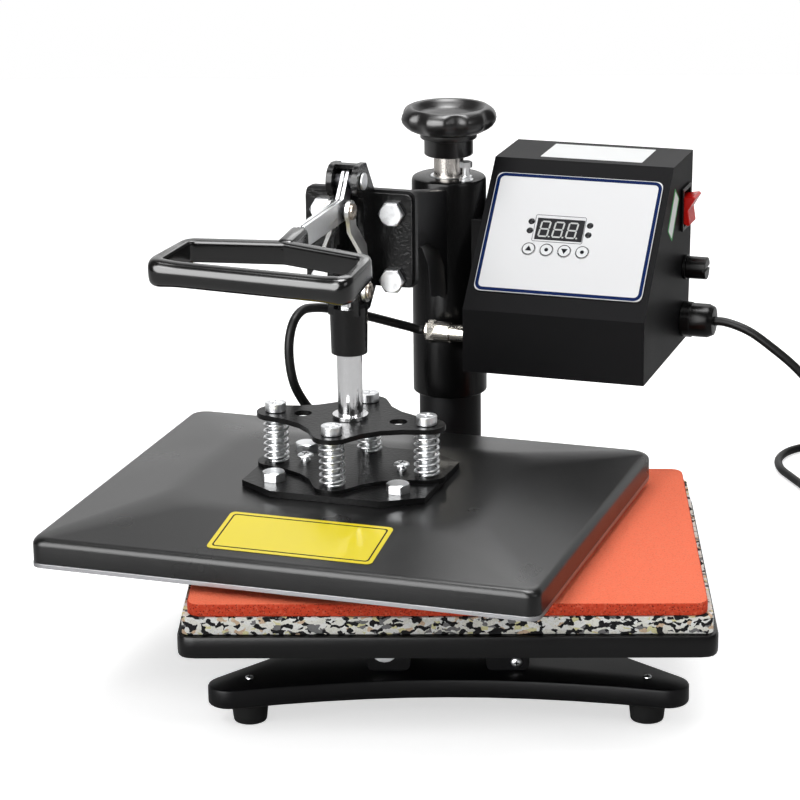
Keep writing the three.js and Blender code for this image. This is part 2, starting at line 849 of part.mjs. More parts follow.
const guide = drum(guideFootRadius, guideTopZ - guideBottomZ, roundSides, guideRadius)
  .translate(plungerA, 0, guideBottomZ);
const shaftBore = drum(shaftRadius + runGap, shaftTopZ + plungerUp - guideBottomZ + 2 * cutOverrun)
  .translate(plungerA, 0, guideBottomZ - cutOverrun);
const slotHalfWidth = lowerPinRadius + runGap;
const slot = strap(
  [plungerA, lowerPivotZ - plungerDown - runGap], [plungerA, lowerPivotZ + plungerUp + runGap],
  slotHalfWidth, 2 * (earInnerB + earThickness + cutOverrun),
);
const topPinHole = crossBar(topPinRadius + seatGap, 2 * (earInnerB + earThickness + cutOverrun))
  .translate(plungerA, 0, topPivotZ);
place(arm, 'clamp_frame', carve([clampPlate, ...ears, hood, guide], [shaftBore, slot, topPinHole, ...boltHoles]),
  finish('#151516', 0.3, 0.4));

const boltGrip = clampFaceA - armPlateA;
for (const [name, b, z] of clampBoltPlaces) {
  const nut = drum(clampBoltHeadRadius, clampNutHeight, 6).translate(0, 0, -clampNutHeight - seatGap);
  const head = drum(clampBoltHeadRadius, clampBoltHeadHeight, 6).translate(0, 0, boltGrip + seatGap);
  const shank = drum(clampBoltRadius, boltGrip + clampNutHeight + clampBoltHeadHeight, smallSides)
    .translate(0, 0, -clampNutHeight);
  place(arm, name, carve([nut, head, shank]).rotateY(quarterTurn), zinc(), armPlateA, b, z);
}

const earOuterB = earInnerB + earThickness;
const topPin = carve([
  crossBar(topPinRadius, 2 * (earOuterB + seatGap + topPinHeadHeight)),
  ...[-1, 1].map((side) => crossBar(topPinHeadRadius, topPinHeadHeight)
    .translate(0, side * (earOuterB + seatGap + topPinHeadHeight / 2), 0)),
]);
place(arm, 'top_pin', topPin, zinc(), plungerA, 0, topPivotZ);

// Lever: crank from the top pivot to the link, then forward to the handle
const leverMiddleZ = (leverBottomZ + leverTopZ) / 2;
const leverBar = block(
  [leverPivot[0], -leverHalfThickness, leverBottomZ], [leverEndA, leverHalfThickness, leverTopZ],
);
const leverGroove = block(
  [leverPivot[0], -leverGrooveWidth / 2, leverTopZ - leverGrooveDepth],
  [leverEndA + cutOverrun, leverGrooveWidth / 2, leverTopZ + cutOverrun],
);
const tongue = block(
  [leverEndA - cutOverrun, -tongueHalfThickness, leverBottomZ + tongueInset],
  [leverEndA + tongueLength, tongueHalfThickness, leverTopZ - tongueInset],
);
const lever = carve([
  strap(topPivot, leverPivot, leverCrankHalfWidth, 2 * leverHalfThickness),
  crossBar(leverHubRadius, 2 * leverPivotHub).translate(plungerA, 0, topPivotZ),
  crossBar(leverHubRadius, 2 * (linkUpperB - seatGap)).translate(leverPivot[0], 0, leverPivot[1]),
  leverBar,
  tongue,
], [
  leverGroove,
  crossBar(topPinRadius + runGap, 2 * (leverPivotHub + cutOverrun)).translate(plungerA, 0, topPivotZ),
  crossBar(linkPinRadius + runGap, 2 * (linkUpperB + cutOverrun)).translate(leverPivot[0], 0, leverPivot[1]),
]);
place(arm, 'lever_bar', lever, zinc());

// Handle: a neck that grips the lever's tongue, and a rounded loop
const neckStartA = leverEndA + seatGap;
const neckHalf = neckHeight / 2;
const neck = across(roundedOutline([
  [neckStartA, leverMiddleZ - neckHalf],
  [neckStartA + neckLength, leverMiddleZ + neckRise - neckHalf],
  [neckStartA + neckLength, leverMiddleZ + neckRise + neckHalf],
  [neckStartA, leverMiddleZ + neckHalf],
], neckCorner), neckWidth, neckEdge);
const socketHollow = block(
  [neckStartA - cutOverrun, -tongueHalfThickness - seatGap, leverBottomZ + tongueInset - seatGap],
  [leverEndA + tongueLength + seatGap, tongueHalfThickness + seatGap, leverTopZ - tongueInset + seatGap],
);
const loopShape = roundedOutline([
  [0, 0], [loopBackDepth, -loopBackHalfWidth], [loopLength, -loopFrontHalfWidth],
  [loopLength, loopFrontHalfWidth], [loopBackDepth, loopBackHalfWidth],
], loopCorner);
loopShape.holes.push(roundedOutline([
  [loopStrip, 0],
  [loopBackDepth + loopStrip, -loopBackHalfWidth + loopStrip],
  [loopLength - loopFrontBar, -loopFrontHalfWidth + loopStrip],
  [loopLength - loopFrontBar, loopFrontHalfWidth - loopStrip],
  [loopBackDepth + loopStrip, loopBackHalfWidth - loopStrip],
], loopCorner - loopStrip / 2));
const loop = upright(loopShape, loopHeight, loopEdge)
  .translate(0, 0, -loopHeight)
  .rotateY(THREE.MathUtils.degToRad(loopTilt))
  .rotateZ(-THREE.MathUtils.degToRad(loopSkew))
  .translate(loopBackA, 0, loopTopZ);
place(arm, 'handle_loop', carve([loop, neck], [socketHollow]), finish('#0c0c0d', 0.12, 0));

// Link: two joggled plates riveted through the lever
const linkReach = linkLowerB + linkPlate;
const linkSide = [
  [linkUpperB, linkEyeRadius],
  [linkUpperB + linkPlate, linkEyeRadius],
  [linkUpperB + linkPlate, -joggleStart],
  [linkReach, -joggleEnd],
  [linkReach, -linkLength - linkEyeRadius],
  [linkLowerB, -linkLength - linkEyeRadius],
  [linkLowerB, -joggleEnd],
  [linkUpperB, -joggleStart],
];
const joggled = [-1, 1].map((side) => upright(polygon(linkSide.map(([b, z]) => [side * b, z])), 4 * linkEyeRadius)
  .rotateX(quarterTurn)
  .rotateZ(quarterTurn)
  .translate(-2 * linkEyeRadius, 0, 0));
const linkBlank = carve([
  strap([0, 0], [0, -linkLength], linkHalfWidth, 2 * linkReach),
  crossBar(linkEyeRadius, 2 * linkReach).translate(0, 0, 0),
  crossBar(linkEyeRadius, 2 * linkReach).translate(0, 0, -linkLength),
]);
const rivet = [-1, 1].map((side) => crossBar(rivetHeadRadius, rivetHeadHeight + seatGap)
  .translate(0, side * (linkUpperB + linkPlate + rivetHeadHeight / 2), 0));
const lowerRivets = [-1, 1].map((side) => crossBar(rivetHeadRadius, rivetHeadHeight + seatGap)
  .translate(0, side * (linkReach + rivetHeadHeight / 2), -linkLength));
const linkPin = crossBar(linkPinRadius, 2 * (linkUpperB + linkPlate));
const linkPlates = joggled.map((side) => overlapOf(linkBlank, side));
const link = carve([...linkPlates, linkPin, ...rivet, ...lowerRivets]).rotateY(linkLean);
place(arm, 'link_pair', link, zinc(), leverPivot[0], 0, leverPivot[1]);

// Plunger: shaft with a flattened top, its cross pin, a collar and a nut about the upper plate
const spiderBottomZ = spiderTopZ - spiderThickness;
const shaftBottomZ = spiderTopZ + seatGap;
const roundShaft = drum(shaftRadius, shaftTopZ - shaftBottomZ).translate(0, 0, shaftBottomZ);
const beyondFlats = [-1, 1].map((side) => block(
  [-shaftRadius - cutOverrun, side > 0 ? flatsHalfThickness : -shaftRadius - cutOverrun, flatsBottomZ],
  [shaftRadius + cutOverrun, side > 0 ? shaftRadius + cutOverrun : -flatsHalfThickness, shaftTopZ + cutOverrun],
));
const shaftHead = across(roundedOutline([
  [-shaftRadius - cutOverrun, shaftBottomZ - shaftTopZ], [shaftRadius, shaftBottomZ - shaftTopZ],
  [shaftRadius, 0], [-shaftRadius, 0],
], flatsTopRound), 2 * shaftRadius + cutOverrun).translate(0, 0, shaftTopZ);
const plunger = toSolid(overlapOf(roundShaft, shaftHead))
  .subtract(toSolid(beyondFlats[0]))
  .subtract(toSolid(beyondFlats[1]))
  .add(toSolid(crossBar(lowerPinRadius, 2 * lowerPinHalfLength).translate(0, 0, lowerPivotZ)))
  .add(toSolid(drum(shaftRadius, spiderTopZ).translate(0, 0, shaftBottomZ)
    .scale(1, 1, 1 / 2).translate(0, 0, shaftBottomZ / 2)))
  .add(toSolid(drum(shaftCollarRadius, shaftCollarHeight).translate(0, 0, shaftBottomZ)))
  .add(toSolid(drum(shaftStudRadius, spiderThickness + shaftNutHeight + 2 * seatGap, smallSides)
    .translate(0, 0, spiderBottomZ - seatGap - shaftNutHeight)))
  .add(toSolid(drum(shaftNutRadius, shaftNutHeight, 6)
    .translate(0, 0, spiderBottomZ - seatGap - shaftNutHeight)));
place(arm, 'plunger_shaft', toGeometry(plunger), polishedSteel(), plungerA, 0, 0);

// Star-shaped plate with a lobe for each spring
function starOutline(lobe) {
  const shape = new THREE.Shape();
  const lobes = [
    [spiderReachA, 0, 0], [0, spiderReachB, quarterTurn],
    [-spiderReachA, 0, halfTurn], [0, -spiderReachB, -quarterTurn],
  ];
  const halfLobe = quarterTurn * 0.75;
  lobes.forEach(([x, y, facing], i) => {
    shape.absarc(x, y, lobe, facing - halfLobe, facing + halfLobe);
    const next = lobes[(i + 1) % lobes.length];
    const toward = [next[0] + x, next[1] + y];
    const start = next[2] - halfLobe;
    shape.quadraticCurveTo(toward[0] * spiderWaistShare, toward[1] * spiderWaistShare,
      next[0] + lobe * Math.cos(start), next[1] + lobe * Math.sin(start));
  });
  return shape;
}
const springPlaces = [
  ['front', spiderReachA, 0],
  ['rear', -spiderReachA, 0],
  ['left', 0, -spiderReachB],
  ['right', 0, spiderReachB],
];
const throughPlate = (radius, x, y, thickness) =>
  drum(radius, thickness + 2 * cutOverrun, smallSides).translate(x, y, -cutOverrun);
const guideHole = guideScrewRadius + runGap;
place(arm, 'spider_plate', carve([upright(starOutline(spiderLobeRadius), spiderThickness)], [
  ...springPlaces.map(([, x, y]) => throughPlate(guideHole, x, y, spiderThickness)),
  ...[-1, 1].map((side) => throughPlate(spiderHoleRadius, 0, side * spiderHoleB, spiderThickness)),
  throughPlate(shaftStudRadius + seatGap, 0, 0, spiderThickness),
]), blackPowder(), plungerA, 0, spiderBottomZ);

// Mount plate: a clipped plate with the lower star on it, and its four bolts
const mountBottomZ = coverCrownZ + seatGap;
const mountTopZ = mountBottomZ + mountPlateThickness;
const starTopZ = mountTopZ + starThickness;
const clipA = mountHalfLength - mountClipA;
const clipB = mountHalfWidth - mountClipB;
const mountShape = polygon([
  [mountHalfLength, -clipB], [mountHalfLength, clipB], [clipA, mountHalfWidth], [-clipA, mountHalfWidth],
  [-mountHalfLength, clipB], [-mountHalfLength, -clipB], [-clipA, -mountHalfWidth], [clipA, -mountHalfWidth],
]);
const mountBolts = [[1, 1], [1, -1], [-1, 1], [-1, -1]].map(([sideA, sideB]) =>
  drum(mountBoltHeadRadius, mountBoltHeadHeight + cutOverrun, 6)
    .translate(sideA * mountBoltA, sideB * mountBoltB, mountPlateThickness - cutOverrun));
const mountAndStar = mountPlateThickness + starThickness;
place(arm, 'mount_plate', carve([
  upright(mountShape, mountPlateThickness),
  upright(starOutline(spiderLobeRadius), starThickness + cutOverrun).translate(0, 0, mountPlateThickness - cutOverrun),
  ...mountBolts,
], springPlaces.map(([, x, y]) => throughPlate(guideScrewRadius + seatGap, x, y, mountAndStar))),
blackPowder(), plungerA, 0, mountBottomZ);

// Springs between the two plates, each one wire wound in a loop
const springBottomZ = starTopZ + seatGap;
const springHeight = spiderBottomZ - seatGap - springBottomZ;
class SpringCurve extends THREE.Curve {
  getPoint(t) {
    const endShare = springWire / springHeight;
    const turning = THREE.MathUtils.clamp((t - endShare) / (1 - 2 * endShare), 0, 1);
    const angle = fullTurn * springCurls * turning;
    return new THREE.Vector3(springRadius * Math.cos(angle), springRadius * Math.sin(angle), springHeight * t);
  }
}
const springWirePath = new SpringCurve();
const springSteps = springCurls * springStepsPerCurl + 2;
const springPoints = springWirePath.getSpacedPoints(springSteps * 4);
console.log('spring gap', leastGap(springPoints, springWire, springStepsPerCurl * 2).toFixed(2));
for (const [name, x, y] of springPlaces) {
  place(arm, `spring_${name}`, tube(springWirePath, springWire / 2, springSides, springSteps),
    zinc(), plungerA + x, y, springBottomZ);
}

// Guide screws: a thick shoulder and a cheese head with a cross recess
const screwFootZ = mountBottomZ;
const screwHeadZ = spiderTopZ + seatGap;
const screwLength = screwHeadZ - screwFootZ;
const screwTop = screwLength + guideScrewHeadHeight;
const crossArm = () => block(
  [-guideScrewCross / 2, -guideScrewSlot / 2, screwTop - guideScrewSlot],
  [guideScrewCross / 2, guideScrewSlot / 2, screwTop + cutOverrun],
);
for (const [name, x, y] of springPlaces) {
  const screw = carve([
    drum(guideScrewRadius, screwLength + cutOverrun, smallSides),
    drum(guideScrewHeadRadius, guideScrewHeadHeight, smallSides).translate(0, 0, screwLength),
  ], [crossArm(), crossArm().rotateZ(quarterTurn)]);
  place(arm, `guide_screw_${name}`, screw, zinc(), plungerA + x, y, screwFootZ);
}

// Upper platen cover: a sheet pan with a sloped crown, open underneath
function crownedPan(inset) {
  const ringShares = [];
  const outline = (shrinkX, shrinkY, corner) => rectangle(
    2 * (coverHalfDepth - inset - shrinkX), 2 * (coverHalfWidth - inset - shrinkY), corner,
  ).getPoints(cornerSteps).slice(0, -1);
  const drop = inset;
  const levels = [
    [0, 0, coverSkirtBottomZ - (inset > 0 ? cutOverrun : 0), coverCorner],
    [0, 0, coverSkirtTopZ - coverShoulder - drop, coverCorner],
    [coverShoulder / 4, coverShoulder / 4, coverSkirtTopZ - coverShoulder / 4 - drop, coverCorner],
    [coverShoulder, coverShoulder, coverSkirtTopZ - drop, coverCorner],
    [coverCrownInset - coverShoulder, coverCrownInset - coverShoulder, coverCrownZ - 1 / coverShoulder - drop,
      coverCorner],
    [coverCrownInset, coverCrownInset, coverCrownZ - drop, coverCorner],
  ];
  for (const [x, y, z, corner] of levels) {
    ringShares.push(outline(x, y, corner).map((p) => [p.x, p.y, z]));
  }
  const count = ringShares[0].length;
  const places = ringShares.flat(2);
  const order = [];
  for (let ring = 0; ring + 1 < ringShares.length; ring += 1) {
    for (let i = 0; i < count; i += 1) {
      const next = (i + 1) % count;
      const [p, q] = [ring * count + i, ring * count + next];
      order.push(p, q, q + count, p, q + count, p + count);
    }
  }
  for (const ring of [0, ringShares.length - 1]) {
    for (let i = 1; i + 1 < count; i += 1) {
      const [p, q, r] = [ring * count, ring * count + i, ring * count + i + 1];
      if (ring === 0) order.push(p, r, q);
      else order.push(p, q, r);
    }
  }
  const geometry = new THREE.BufferGeometry();
  geometry.setAttribute('position', new THREE.Float32BufferAttribute(places, 3));
  geometry.setIndex(order);
  return geometry.translate(plungerA, 0, 0);
}
const cableBoss = drum(cableBossRadius, cableBossHeight, smallSides)
  .translate(cableBossA, cableBossB, coverCrownZ - cutOverrun);
place(arm, 'platen_cover', carve([crownedPan(0), cableBoss], [crownedPan(coverWall)]), blackPowder());

// Heated plate inside the cover, hung from the crown by four bosses
const heatHalfDepth = coverHalfDepth - coverWall - seatGap;
const heatHalfWidth = coverHalfWidth - coverWall - seatGap;
const heatBossHeight = coverCrownZ - coverWall - seatGap - heatPlateBottomZ;
place(arm, 'heat_plate', carve([
  upright(rectangle(2 * heatHalfDepth, 2 * heatHalfWidth, coverCorner), heatPlateThickness),
  upright(rectangle(2 * coverHalfDepth, 2 * coverHalfWidth, coverCorner), heatPlateLipThickness),
  ...[[1, 1], [1, -1], [-1, 1], [-1, -1]].map(([sideA, sideB]) =>
    drum(heatBossRadius, heatBossHeight, smallSides).translate(sideA * mountBoltA, sideB * mountBoltB, 0)),
]), finish('#a9abac', 0.4, 0.8), plungerA, 0, heatPlateBottomZ);

// Control box: a bent sheet shell, open at the back, and its back cover
const boxCorners = [
  [boxFrontA, boxFloorZ],
  [boxFrontA, boxCreaseZ],
  [boxTopFrontA, boxTopZ],
  [boxTopBackA, boxTopZ],
  [boxFloorBackA, boxFloorZ],
];
const boxWidth = boxRightB - boxLeftB;
const boxMiddleB = (boxRightB + boxLeftB) / 2;

// Moves each side of a convex outline inward by its own distance
function inset(corners, distances) {
  const sides = corners.map((corner, i) => {
    const next = corners[(i + 1) % corners.length];
    const along = new THREE.Vector2(next[0] - corner[0], next[1] - corner[1]).normalize();
    const inward = new THREE.Vector2(-along.y, along.x).multiplyScalar(distances[i]);
    return { point: new THREE.Vector2(corner[0], corner[1]).add(inward), along };
  });
  return sides.map((side, i) => {
    const before = sides[(i + sides.length - 1) % sides.length];
    const gap = side.point.clone().sub(before.point);
    const reach = gap.cross(side.along) / before.along.cross(side.along);
    const corner = before.point.clone().addScaledVector(before.along, reach);
    return [corner.x, corner.y];
  });
}
const boxHollow = inset(boxCorners, [boxWall, boxWall, boxWall, -cutOverrun, boxWall]);
const coverRoom = boxWall + seatGap;
const backOuter = inset(boxCorners, [coverRoom, coverRoom, coverRoom, 0, coverRoom]);
const backInner = inset(boxCorners, [coverRoom, coverRoom, coverRoom, boxBackThickness, coverRoom]);

// The panel's frame: x along the box's width, y up the slope, z out of the panel
const slope = Math.atan2(boxTopZ - boxCreaseZ, boxFrontA - boxTopFrontA);
const panel = new THREE.Group();
const panelAxes = new THREE.Matrix4().makeBasis(
  new THREE.Vector3(0, 1, 0),
  new THREE.Vector3(-Math.cos(slope), 0, Math.sin(slope)),
  new THREE.Vector3(Math.sin(slope), 0, Math.cos(slope)),
);
panel.position.set(boxFrontA, 0, boxCreaseZ);
panel.quaternion.setFromRotationMatrix(panelAxes);
arm.add(panel);
const panelFrame = new THREE.Matrix4().compose(panel.position, panel.quaternion, new THREE.Vector3(1, 1, 1));

const keyPlaces = Array.from({ length: keyCount }, (unused, i) => keyFirstB + i * keySpacing);
const panelHoleDepth = fasciaThickness + boxWall + 2 * (seatGap + cutOverrun);
const keyHoles = () => keyPlaces.map((b) =>
  drum(keyRadius + runGap, panelHoleDepth, smallSides).translate(b, keyRowS, -boxWall - cutOverrun));
const displayHole = () => upright(
  rectangle(displayWidth + 2 * seatGap, displayHeight + 2 * seatGap, seatGap), panelHoleDepth,
).translate(displayB, displayS, -boxWall - cutOverrun);
const sideHole = (radius, a, z, b) => crossBar(radius, 2 * (boxWall + cutOverrun)).translate(a, b, z);
const switchHole = (grow) => block(
  [switchA - switchOpeningWidth / 2 - grow, boxRightB - boxWall - cutOverrun, switchZ - switchOpeningHeight / 2 - grow],
  [switchA + switchOpeningWidth / 2 + grow, boxRightB + cutOverrun, switchZ + switchOpeningHeight / 2 + grow],
);
place(arm, 'box_shell', carve([across(polygon(boxCorners), boxWidth).translate(0, boxMiddleB, 0)], [
  across(polygon(boxHollow), boxWidth - 2 * boxWall).translate(0, boxMiddleB, 0),
  ...keyHoles().map((hole) => hole.applyMatrix4(panelFrame)),
  displayHole().applyMatrix4(panelFrame),
  switchHole(switchBodyWall + seatGap),
  sideHole(fuseThreadRadius + seatGap, fuseA, fuseZ, boxRightB),
  sideHole(glandThreadRadius + seatGap, glandA, glandZ, boxRightB),
  sideHole(socketThreadRadius + seatGap, plugA, plugZ, boxLeftB),
]), blackPowder());
place(arm, 'box_back', across(polygon([backOuter[4], backInner[4], backInner[3], backOuter[3]]),
  boxWidth - 2 * coverRoom).translate(0, boxMiddleB, 0), blackPowder());

// Fascia, display, keys and the board behind them
const fasciaWidth = boxWidth - 2 * fasciaInset;
const fascia = upright(rectangle(fasciaWidth, fasciaLength, fasciaCorner), fasciaThickness)
  .translate(boxMiddleB, fasciaStart + fasciaLength / 2, seatGap);
place(panel, 'fascia', carve([fascia], [...keyHoles(), displayHole()]), finish('#e9ebec', 0.35, 0));
place(panel, 'display_module', upright(rectangle(displayWidth, displayHeight, seatGap),
  displayDepth + seatGap + fasciaThickness), finish('#0d0d10', 0.2, 0), displayB, displayS, -displayDepth);
keyPlaces.forEach((b, i) => {
  place(panel, `key_${i + 1}`, drum(keyRadius, keyDepth + seatGap + fasciaThickness + keyProud, smallSides),
    finish('#d9dcdf', 0.4, 0), b, keyRowS, -keyDepth);
});
const boardMiddleS = (displayS + keyRowS) / 2;
const standoffPlaces = [[1, 1], [1, -1], [-1, 1], [-1, -1]].map(([sideX, sideY]) => [
  displayB + sideX * (boardWidth / 2 - 2 * standoffRadius),
  boardMiddleS + sideY * (boardHeight / 2 - 2 * standoffRadius),
]);
place(panel, 'control_board', carve([
  block(
    [displayB - boardWidth / 2, boardMiddleS - boardHeight / 2, -boardDepth - boardThickness],
    [displayB + boardWidth / 2, boardMiddleS + boardHeight / 2, -boardDepth],
  ),
  ...standoffPlaces.map(([x, y]) => drum(standoffRadius, boardDepth - boxWall - seatGap + cutOverrun, tinySides)
    .translate(x, y, -boardDepth - cutOverrun)),
  block(
    [displayB - relaySize, boardMiddleS - relaySize / 2, -boardDepth - relaySize],
    [displayB, boardMiddleS + relaySize / 2, -boardDepth - boardThickness / 2],
  ),
]), finish('#2f6b3c', 0.6, 0));

// Switch: a rimmed cup through the wall, and the rocker in it
const switchFace = boxRightB + seatGap;
const cupOuterWidth = switchOpeningWidth + 2 * switchBodyWall;
const cupOuterHeight = switchOpeningHeight + 2 * switchBodyWall;
const rimWidth = switchOpeningWidth + 2 * (switchBodyWall + switchRim);
const rimHeight = switchOpeningHeight + 2 * (switchBodyWall + switchRim);
const switchBlock = (width, height, from, to) =>
  block([-width / 2, from, -height / 2], [width / 2, to, height / 2]);
place(arm, 'switch_bezel', carve([
  switchBlock(rimWidth, rimHeight, 0, switchRimHeight),
  switchBlock(cupOuterWidth, cupOuterHeight, -switchBodyDepth, cutOverrun),
], [
  switchBlock(switchOpeningWidth, switchOpeningHeight, switchBodyWall - switchBodyDepth, switchRimHeight + cutOverrun),
]), blackPlastic(), switchA, switchFace, switchZ);
const rockerShape = polygon([
  [-rockerRoot, -rockerRootHalf],
  [rockerTip - switchRimHeight, -rockerHalfLength],
  [rockerTip, -rockerHalfLength + switchBodyWall],
  [rockerDip, 0],
  [rockerTip, rockerHalfLength - switchBodyWall],
  [rockerTip - switchRimHeight, rockerHalfLength],
  [-rockerRoot, rockerRootHalf],
]);
const rocker = upright(rockerShape, switchOpeningWidth - 2 * runGap)
  .rotateX(quarterTurn)
  .rotateZ(quarterTurn)
  .translate(-switchOpeningWidth / 2 + runGap, 0, 0)
  .rotateX(-THREE.MathUtils.degToRad(rockerTilt));
place(arm, 'rocker', rocker, finish('#d11a1a', 0.25, 0), switchA, switchFace + rockerPivotDepth, switchZ);

// Fuse holder and its cap. Pieces on the right side are turned so that their axis is the arm's y.
const outOfRight = (geometry) => geometry.rotateX(-quarterTurn);
const rightFace = boxRightB + seatGap;
place(arm, 'fuse_holder', outOfRight(revolved([
  [fuseCapPlugRadius + runGap, fuseFlangeThickness],
  [fuseCapPlugRadius + runGap, -fuseCapPlugLength],
  [0, -fuseCapPlugLength],
  [0, -fuseThreadLength],
  [fuseThreadRadius, -fuseThreadLength],
  [fuseThreadRadius, 0],
  [fuseFlangeRadius, 0],
  [fuseFlangeRadius, fuseFlangeThickness],
  [fuseCapPlugRadius + runGap, fuseFlangeThickness],
], smallSides)), blackPlastic(), fuseA, rightFace, fuseZ);
const fuseCapStart = fuseFlangeThickness + seatGap;
place(arm, 'fuse_cap', outOfRight(carve([
  drum(fuseCapPlugRadius, fuseCapPlugLength, smallSides).translate(0, 0, fuseCapStart + cutOverrun - fuseCapPlugLength),
  drum(fuseCapRadius, fuseCapLength, smallSides).translate(0, 0, fuseCapStart),
], [block(
  [-fuseCapRadius, -fuseCapSlot / 2, fuseCapStart + fuseCapLength - fuseCapSlot],
  [fuseCapRadius, fuseCapSlot / 2, fuseCapStart + fuseCapLength + cutOverrun],
)])), blackPlastic(), fuseA, rightFace, fuseZ);

// Cable gland: hexagon base, round body with a domed nose
const glandBore = mainsCordRadius + seatGap;
const glandBodyEnd = glandBaseLength + (glandLength - glandBaseLength) * glandDomeShare;
const glandBody = revolved([
  [glandBore, -glandThreadLength],
  [glandThreadRadius, -glandThreadLength],
  [glandThreadRadius, 0],
  [glandRadius, 0],
  [glandRadius, glandBodyEnd],
  [glandRadius - (glandRadius - glandNoseRadius) / 4, glandBodyEnd + (glandLength - glandBodyEnd) / 2],
  [glandNoseRadius + (glandRadius - glandNoseRadius) / 2, glandLength - seatGap],
  [glandNoseRadius, glandLength],
  [glandBore, glandLength],
  [glandBore, -glandThreadLength],
], smallSides);
const glandHex = overlapOf(
  drum(glandRadius * 2 / Math.sqrt(3), glandBaseLength, 6),
  drum(glandRadius + switchRimHeight / 2, glandBaseLength, smallSides),
);
const glandCore = drum(glandBore, 2 * glandLength, smallSides).translate(0, 0, -glandLength / 2);
place(arm, 'cable_gland', outOfRight(carve([glandBody, glandHex], [glandCore])), blackPlastic(),
  glandA, rightFace, glandZ);

// Heater connector: a socket on the box's left wall and the plug on it
const outOfLeft = (geometry) => geometry.rotateX(quarterTurn);
const leftFace = boxLeftB - seatGap;
place(arm, 'heater_socket', outOfLeft(revolved([
  [0, -socketThreadLength],
  [socketThreadRadius, -socketThreadLength],
  [socketThreadRadius, 0],
  [socketFlangeRadius, 0],
  [socketFlangeRadius, socketFlangeThickness],
  [socketRadius, socketFlangeThickness],
  [socketRadius, socketLength],
  [0, socketLength],
], smallSides)), finish('#d8d3c8', 0.2, 1), plugA, leftFace, plugZ);
const plugStart = socketLength + seatGap;
const heaterPlug = carve([
  drum(plugRadius, plugBodyLength, smallSides).translate(0, 0, plugStart),
  drum(plugNutRadius, plugNutLength, 6).translate(0, 0, plugStart + plugBodyLength - cutOverrun),
  drum(socketRadius, plugNutLength + 2 * cutOverrun, smallSides).translate(0, 0, plugStart + plugBodyLength - cutOverrun),
]);
const plugEnd = plugStart + plugBodyLength + plugNutLength + cutOverrun;
place(arm, 'heater_plug', outOfLeft(heaterPlug), finish('#d8d3c8', 0.2, 1), plugA, leftFace, plugZ);

// Heater cable, in the arm's frame: from the connector, over behind the clamp, down to the cover
const cableStartB = leftFace - plugEnd - seatGap;
const bossTopZ = coverCrownZ + cableBossHeight - cutOverrun;
const heaterRoute = [
  [plugA, cableStartB, plugZ], [plugA, cableStartB - heaterCableRadius, plugZ],
  [54, -16, 216], [64, -24, 221], [78, -29, 227],
  [100, -35, 236], [125, -42, 246], [150, -48.5, 255], [174, -54, 262], [194, -57.5, 265], [208, -59.5, 260],
  [215.5, -60.5, 248], [218, -60, 232], [217, -57, 213], [209, -52, 196], [197, -48, 183], [184, -45.5, 175],
  [cableBossA, cableBossB, bossTopZ + 2 * heaterCableRadius], [cableBossA, cableBossB, bossTopZ + seatGap],
];
const heaterCurve = new THREE.CatmullRomCurve3(heaterRoute.map((p) => new THREE.Vector3(...p)), false, 'centripetal');
place(arm, 'heater_cable', tube(heaterCurve, heaterCableRadius, cordSides, 40), blackRubber());

// Mains lead, in the stand's frame: out of the gland, down to the floor, round to a coil
const glandNose = new THREE.Vector3(glandA, rightFace + glandLength + seatGap, glandZ);
const swing = new THREE.Matrix4().makeRotationZ(arm.rotation.z).setPosition(arm.position);
const noseInStand = glandNose.clone().applyMatrix4(swing);
const afterNose = glandNose.clone().add(new THREE.Vector3(0, glandNoseRadius, 0)).applyMatrix4(swing);
const mainsRoute = [
  [noseInStand.x, noseInStand.y, noseInStand.z], [afterNose.x, afterNose.y, afterNose.z],
  [244, 237, 202], [265, 231, 188], [285, 227, 171], [304, 225, 148], [322, 226, 122], [340, 229, 94],
  [358, 235, 65], [377, 245, 37], [397, 260, 15], [417, 281, 5], [432, 305, 3.8], [442, 335, 3.8],
  [447, 370, 3.8], [446, 410, 3.8], [438, 450, 3.8], [422, 488, 3.8], [398, 517, 3.8], [367, 534, 3.8],
  [336, 535, 3.8], [312, 521, 3.8], [299, 497, 3.8], [298, 470, 3.8], [305, 446, 3.8], [313, 422, 3.8],
  [318.5, 395, 3.8],
];
const coilStart = new THREE.Vector3(coilCentreX - coilRadius, coilCentreY, cordFloorZ);
const mainsCurve = new THREE.CatmullRomCurve3([
  ...mainsRoute.map((p) => new THREE.Vector3(...p)),
  coilStart.clone().add(new THREE.Vector3(0, seatGap, 0)),
], false, 'centripetal');
place(lead, 'mains_cord', tube(mainsCurve, mainsCordRadius, cordSides, 64), blackRubber());

// Coil: the turns spiral in on the floor and out again on top, then run straight to the plug
const coilLayer = 2 * mainsCordRadius + (coilPitch - 2 * mainsCordRadius);
const coilEndAngle = halfTurn + fullTurn * coilTurns;
class CoilCurve extends THREE.Curve {
  getPoint(t) {
    const turned = t * coilTurns;
    const middle = coilTurns / 2;
    const inward = turned < middle ? turned : coilTurns - turned;
    const radius = coilRadius - coilPitch * inward;
    const angle = halfTurn + fullTurn * turned;
    const climb = THREE.MathUtils.smoothstep(turned, middle - 1 / 4, middle + 1 / 4);
    return new THREE.Vector3(radius * Math.cos(angle), radius * Math.sin(angle), coilLayer * climb);
  }
}
const coilSteps = Math.round(coilTurns * coilStepsPerTurn);
const coilPoints = new CoilCurve().getSpacedPoints(coilSteps);
const tailWay = new THREE.Vector3(-Math.sin(coilEndAngle), Math.cos(coilEndAngle), 0);
const coilEnd = coilPoints[coilPoints.length - 1];
const coilTailShares = [1 / 2, 1];
const coilPath = new THREE.CatmullRomCurve3([
  ...coilPoints,
  ...coilTailShares.map((share) => coilEnd.clone().addScaledVector(tailWay, share * coilTail)),
]);
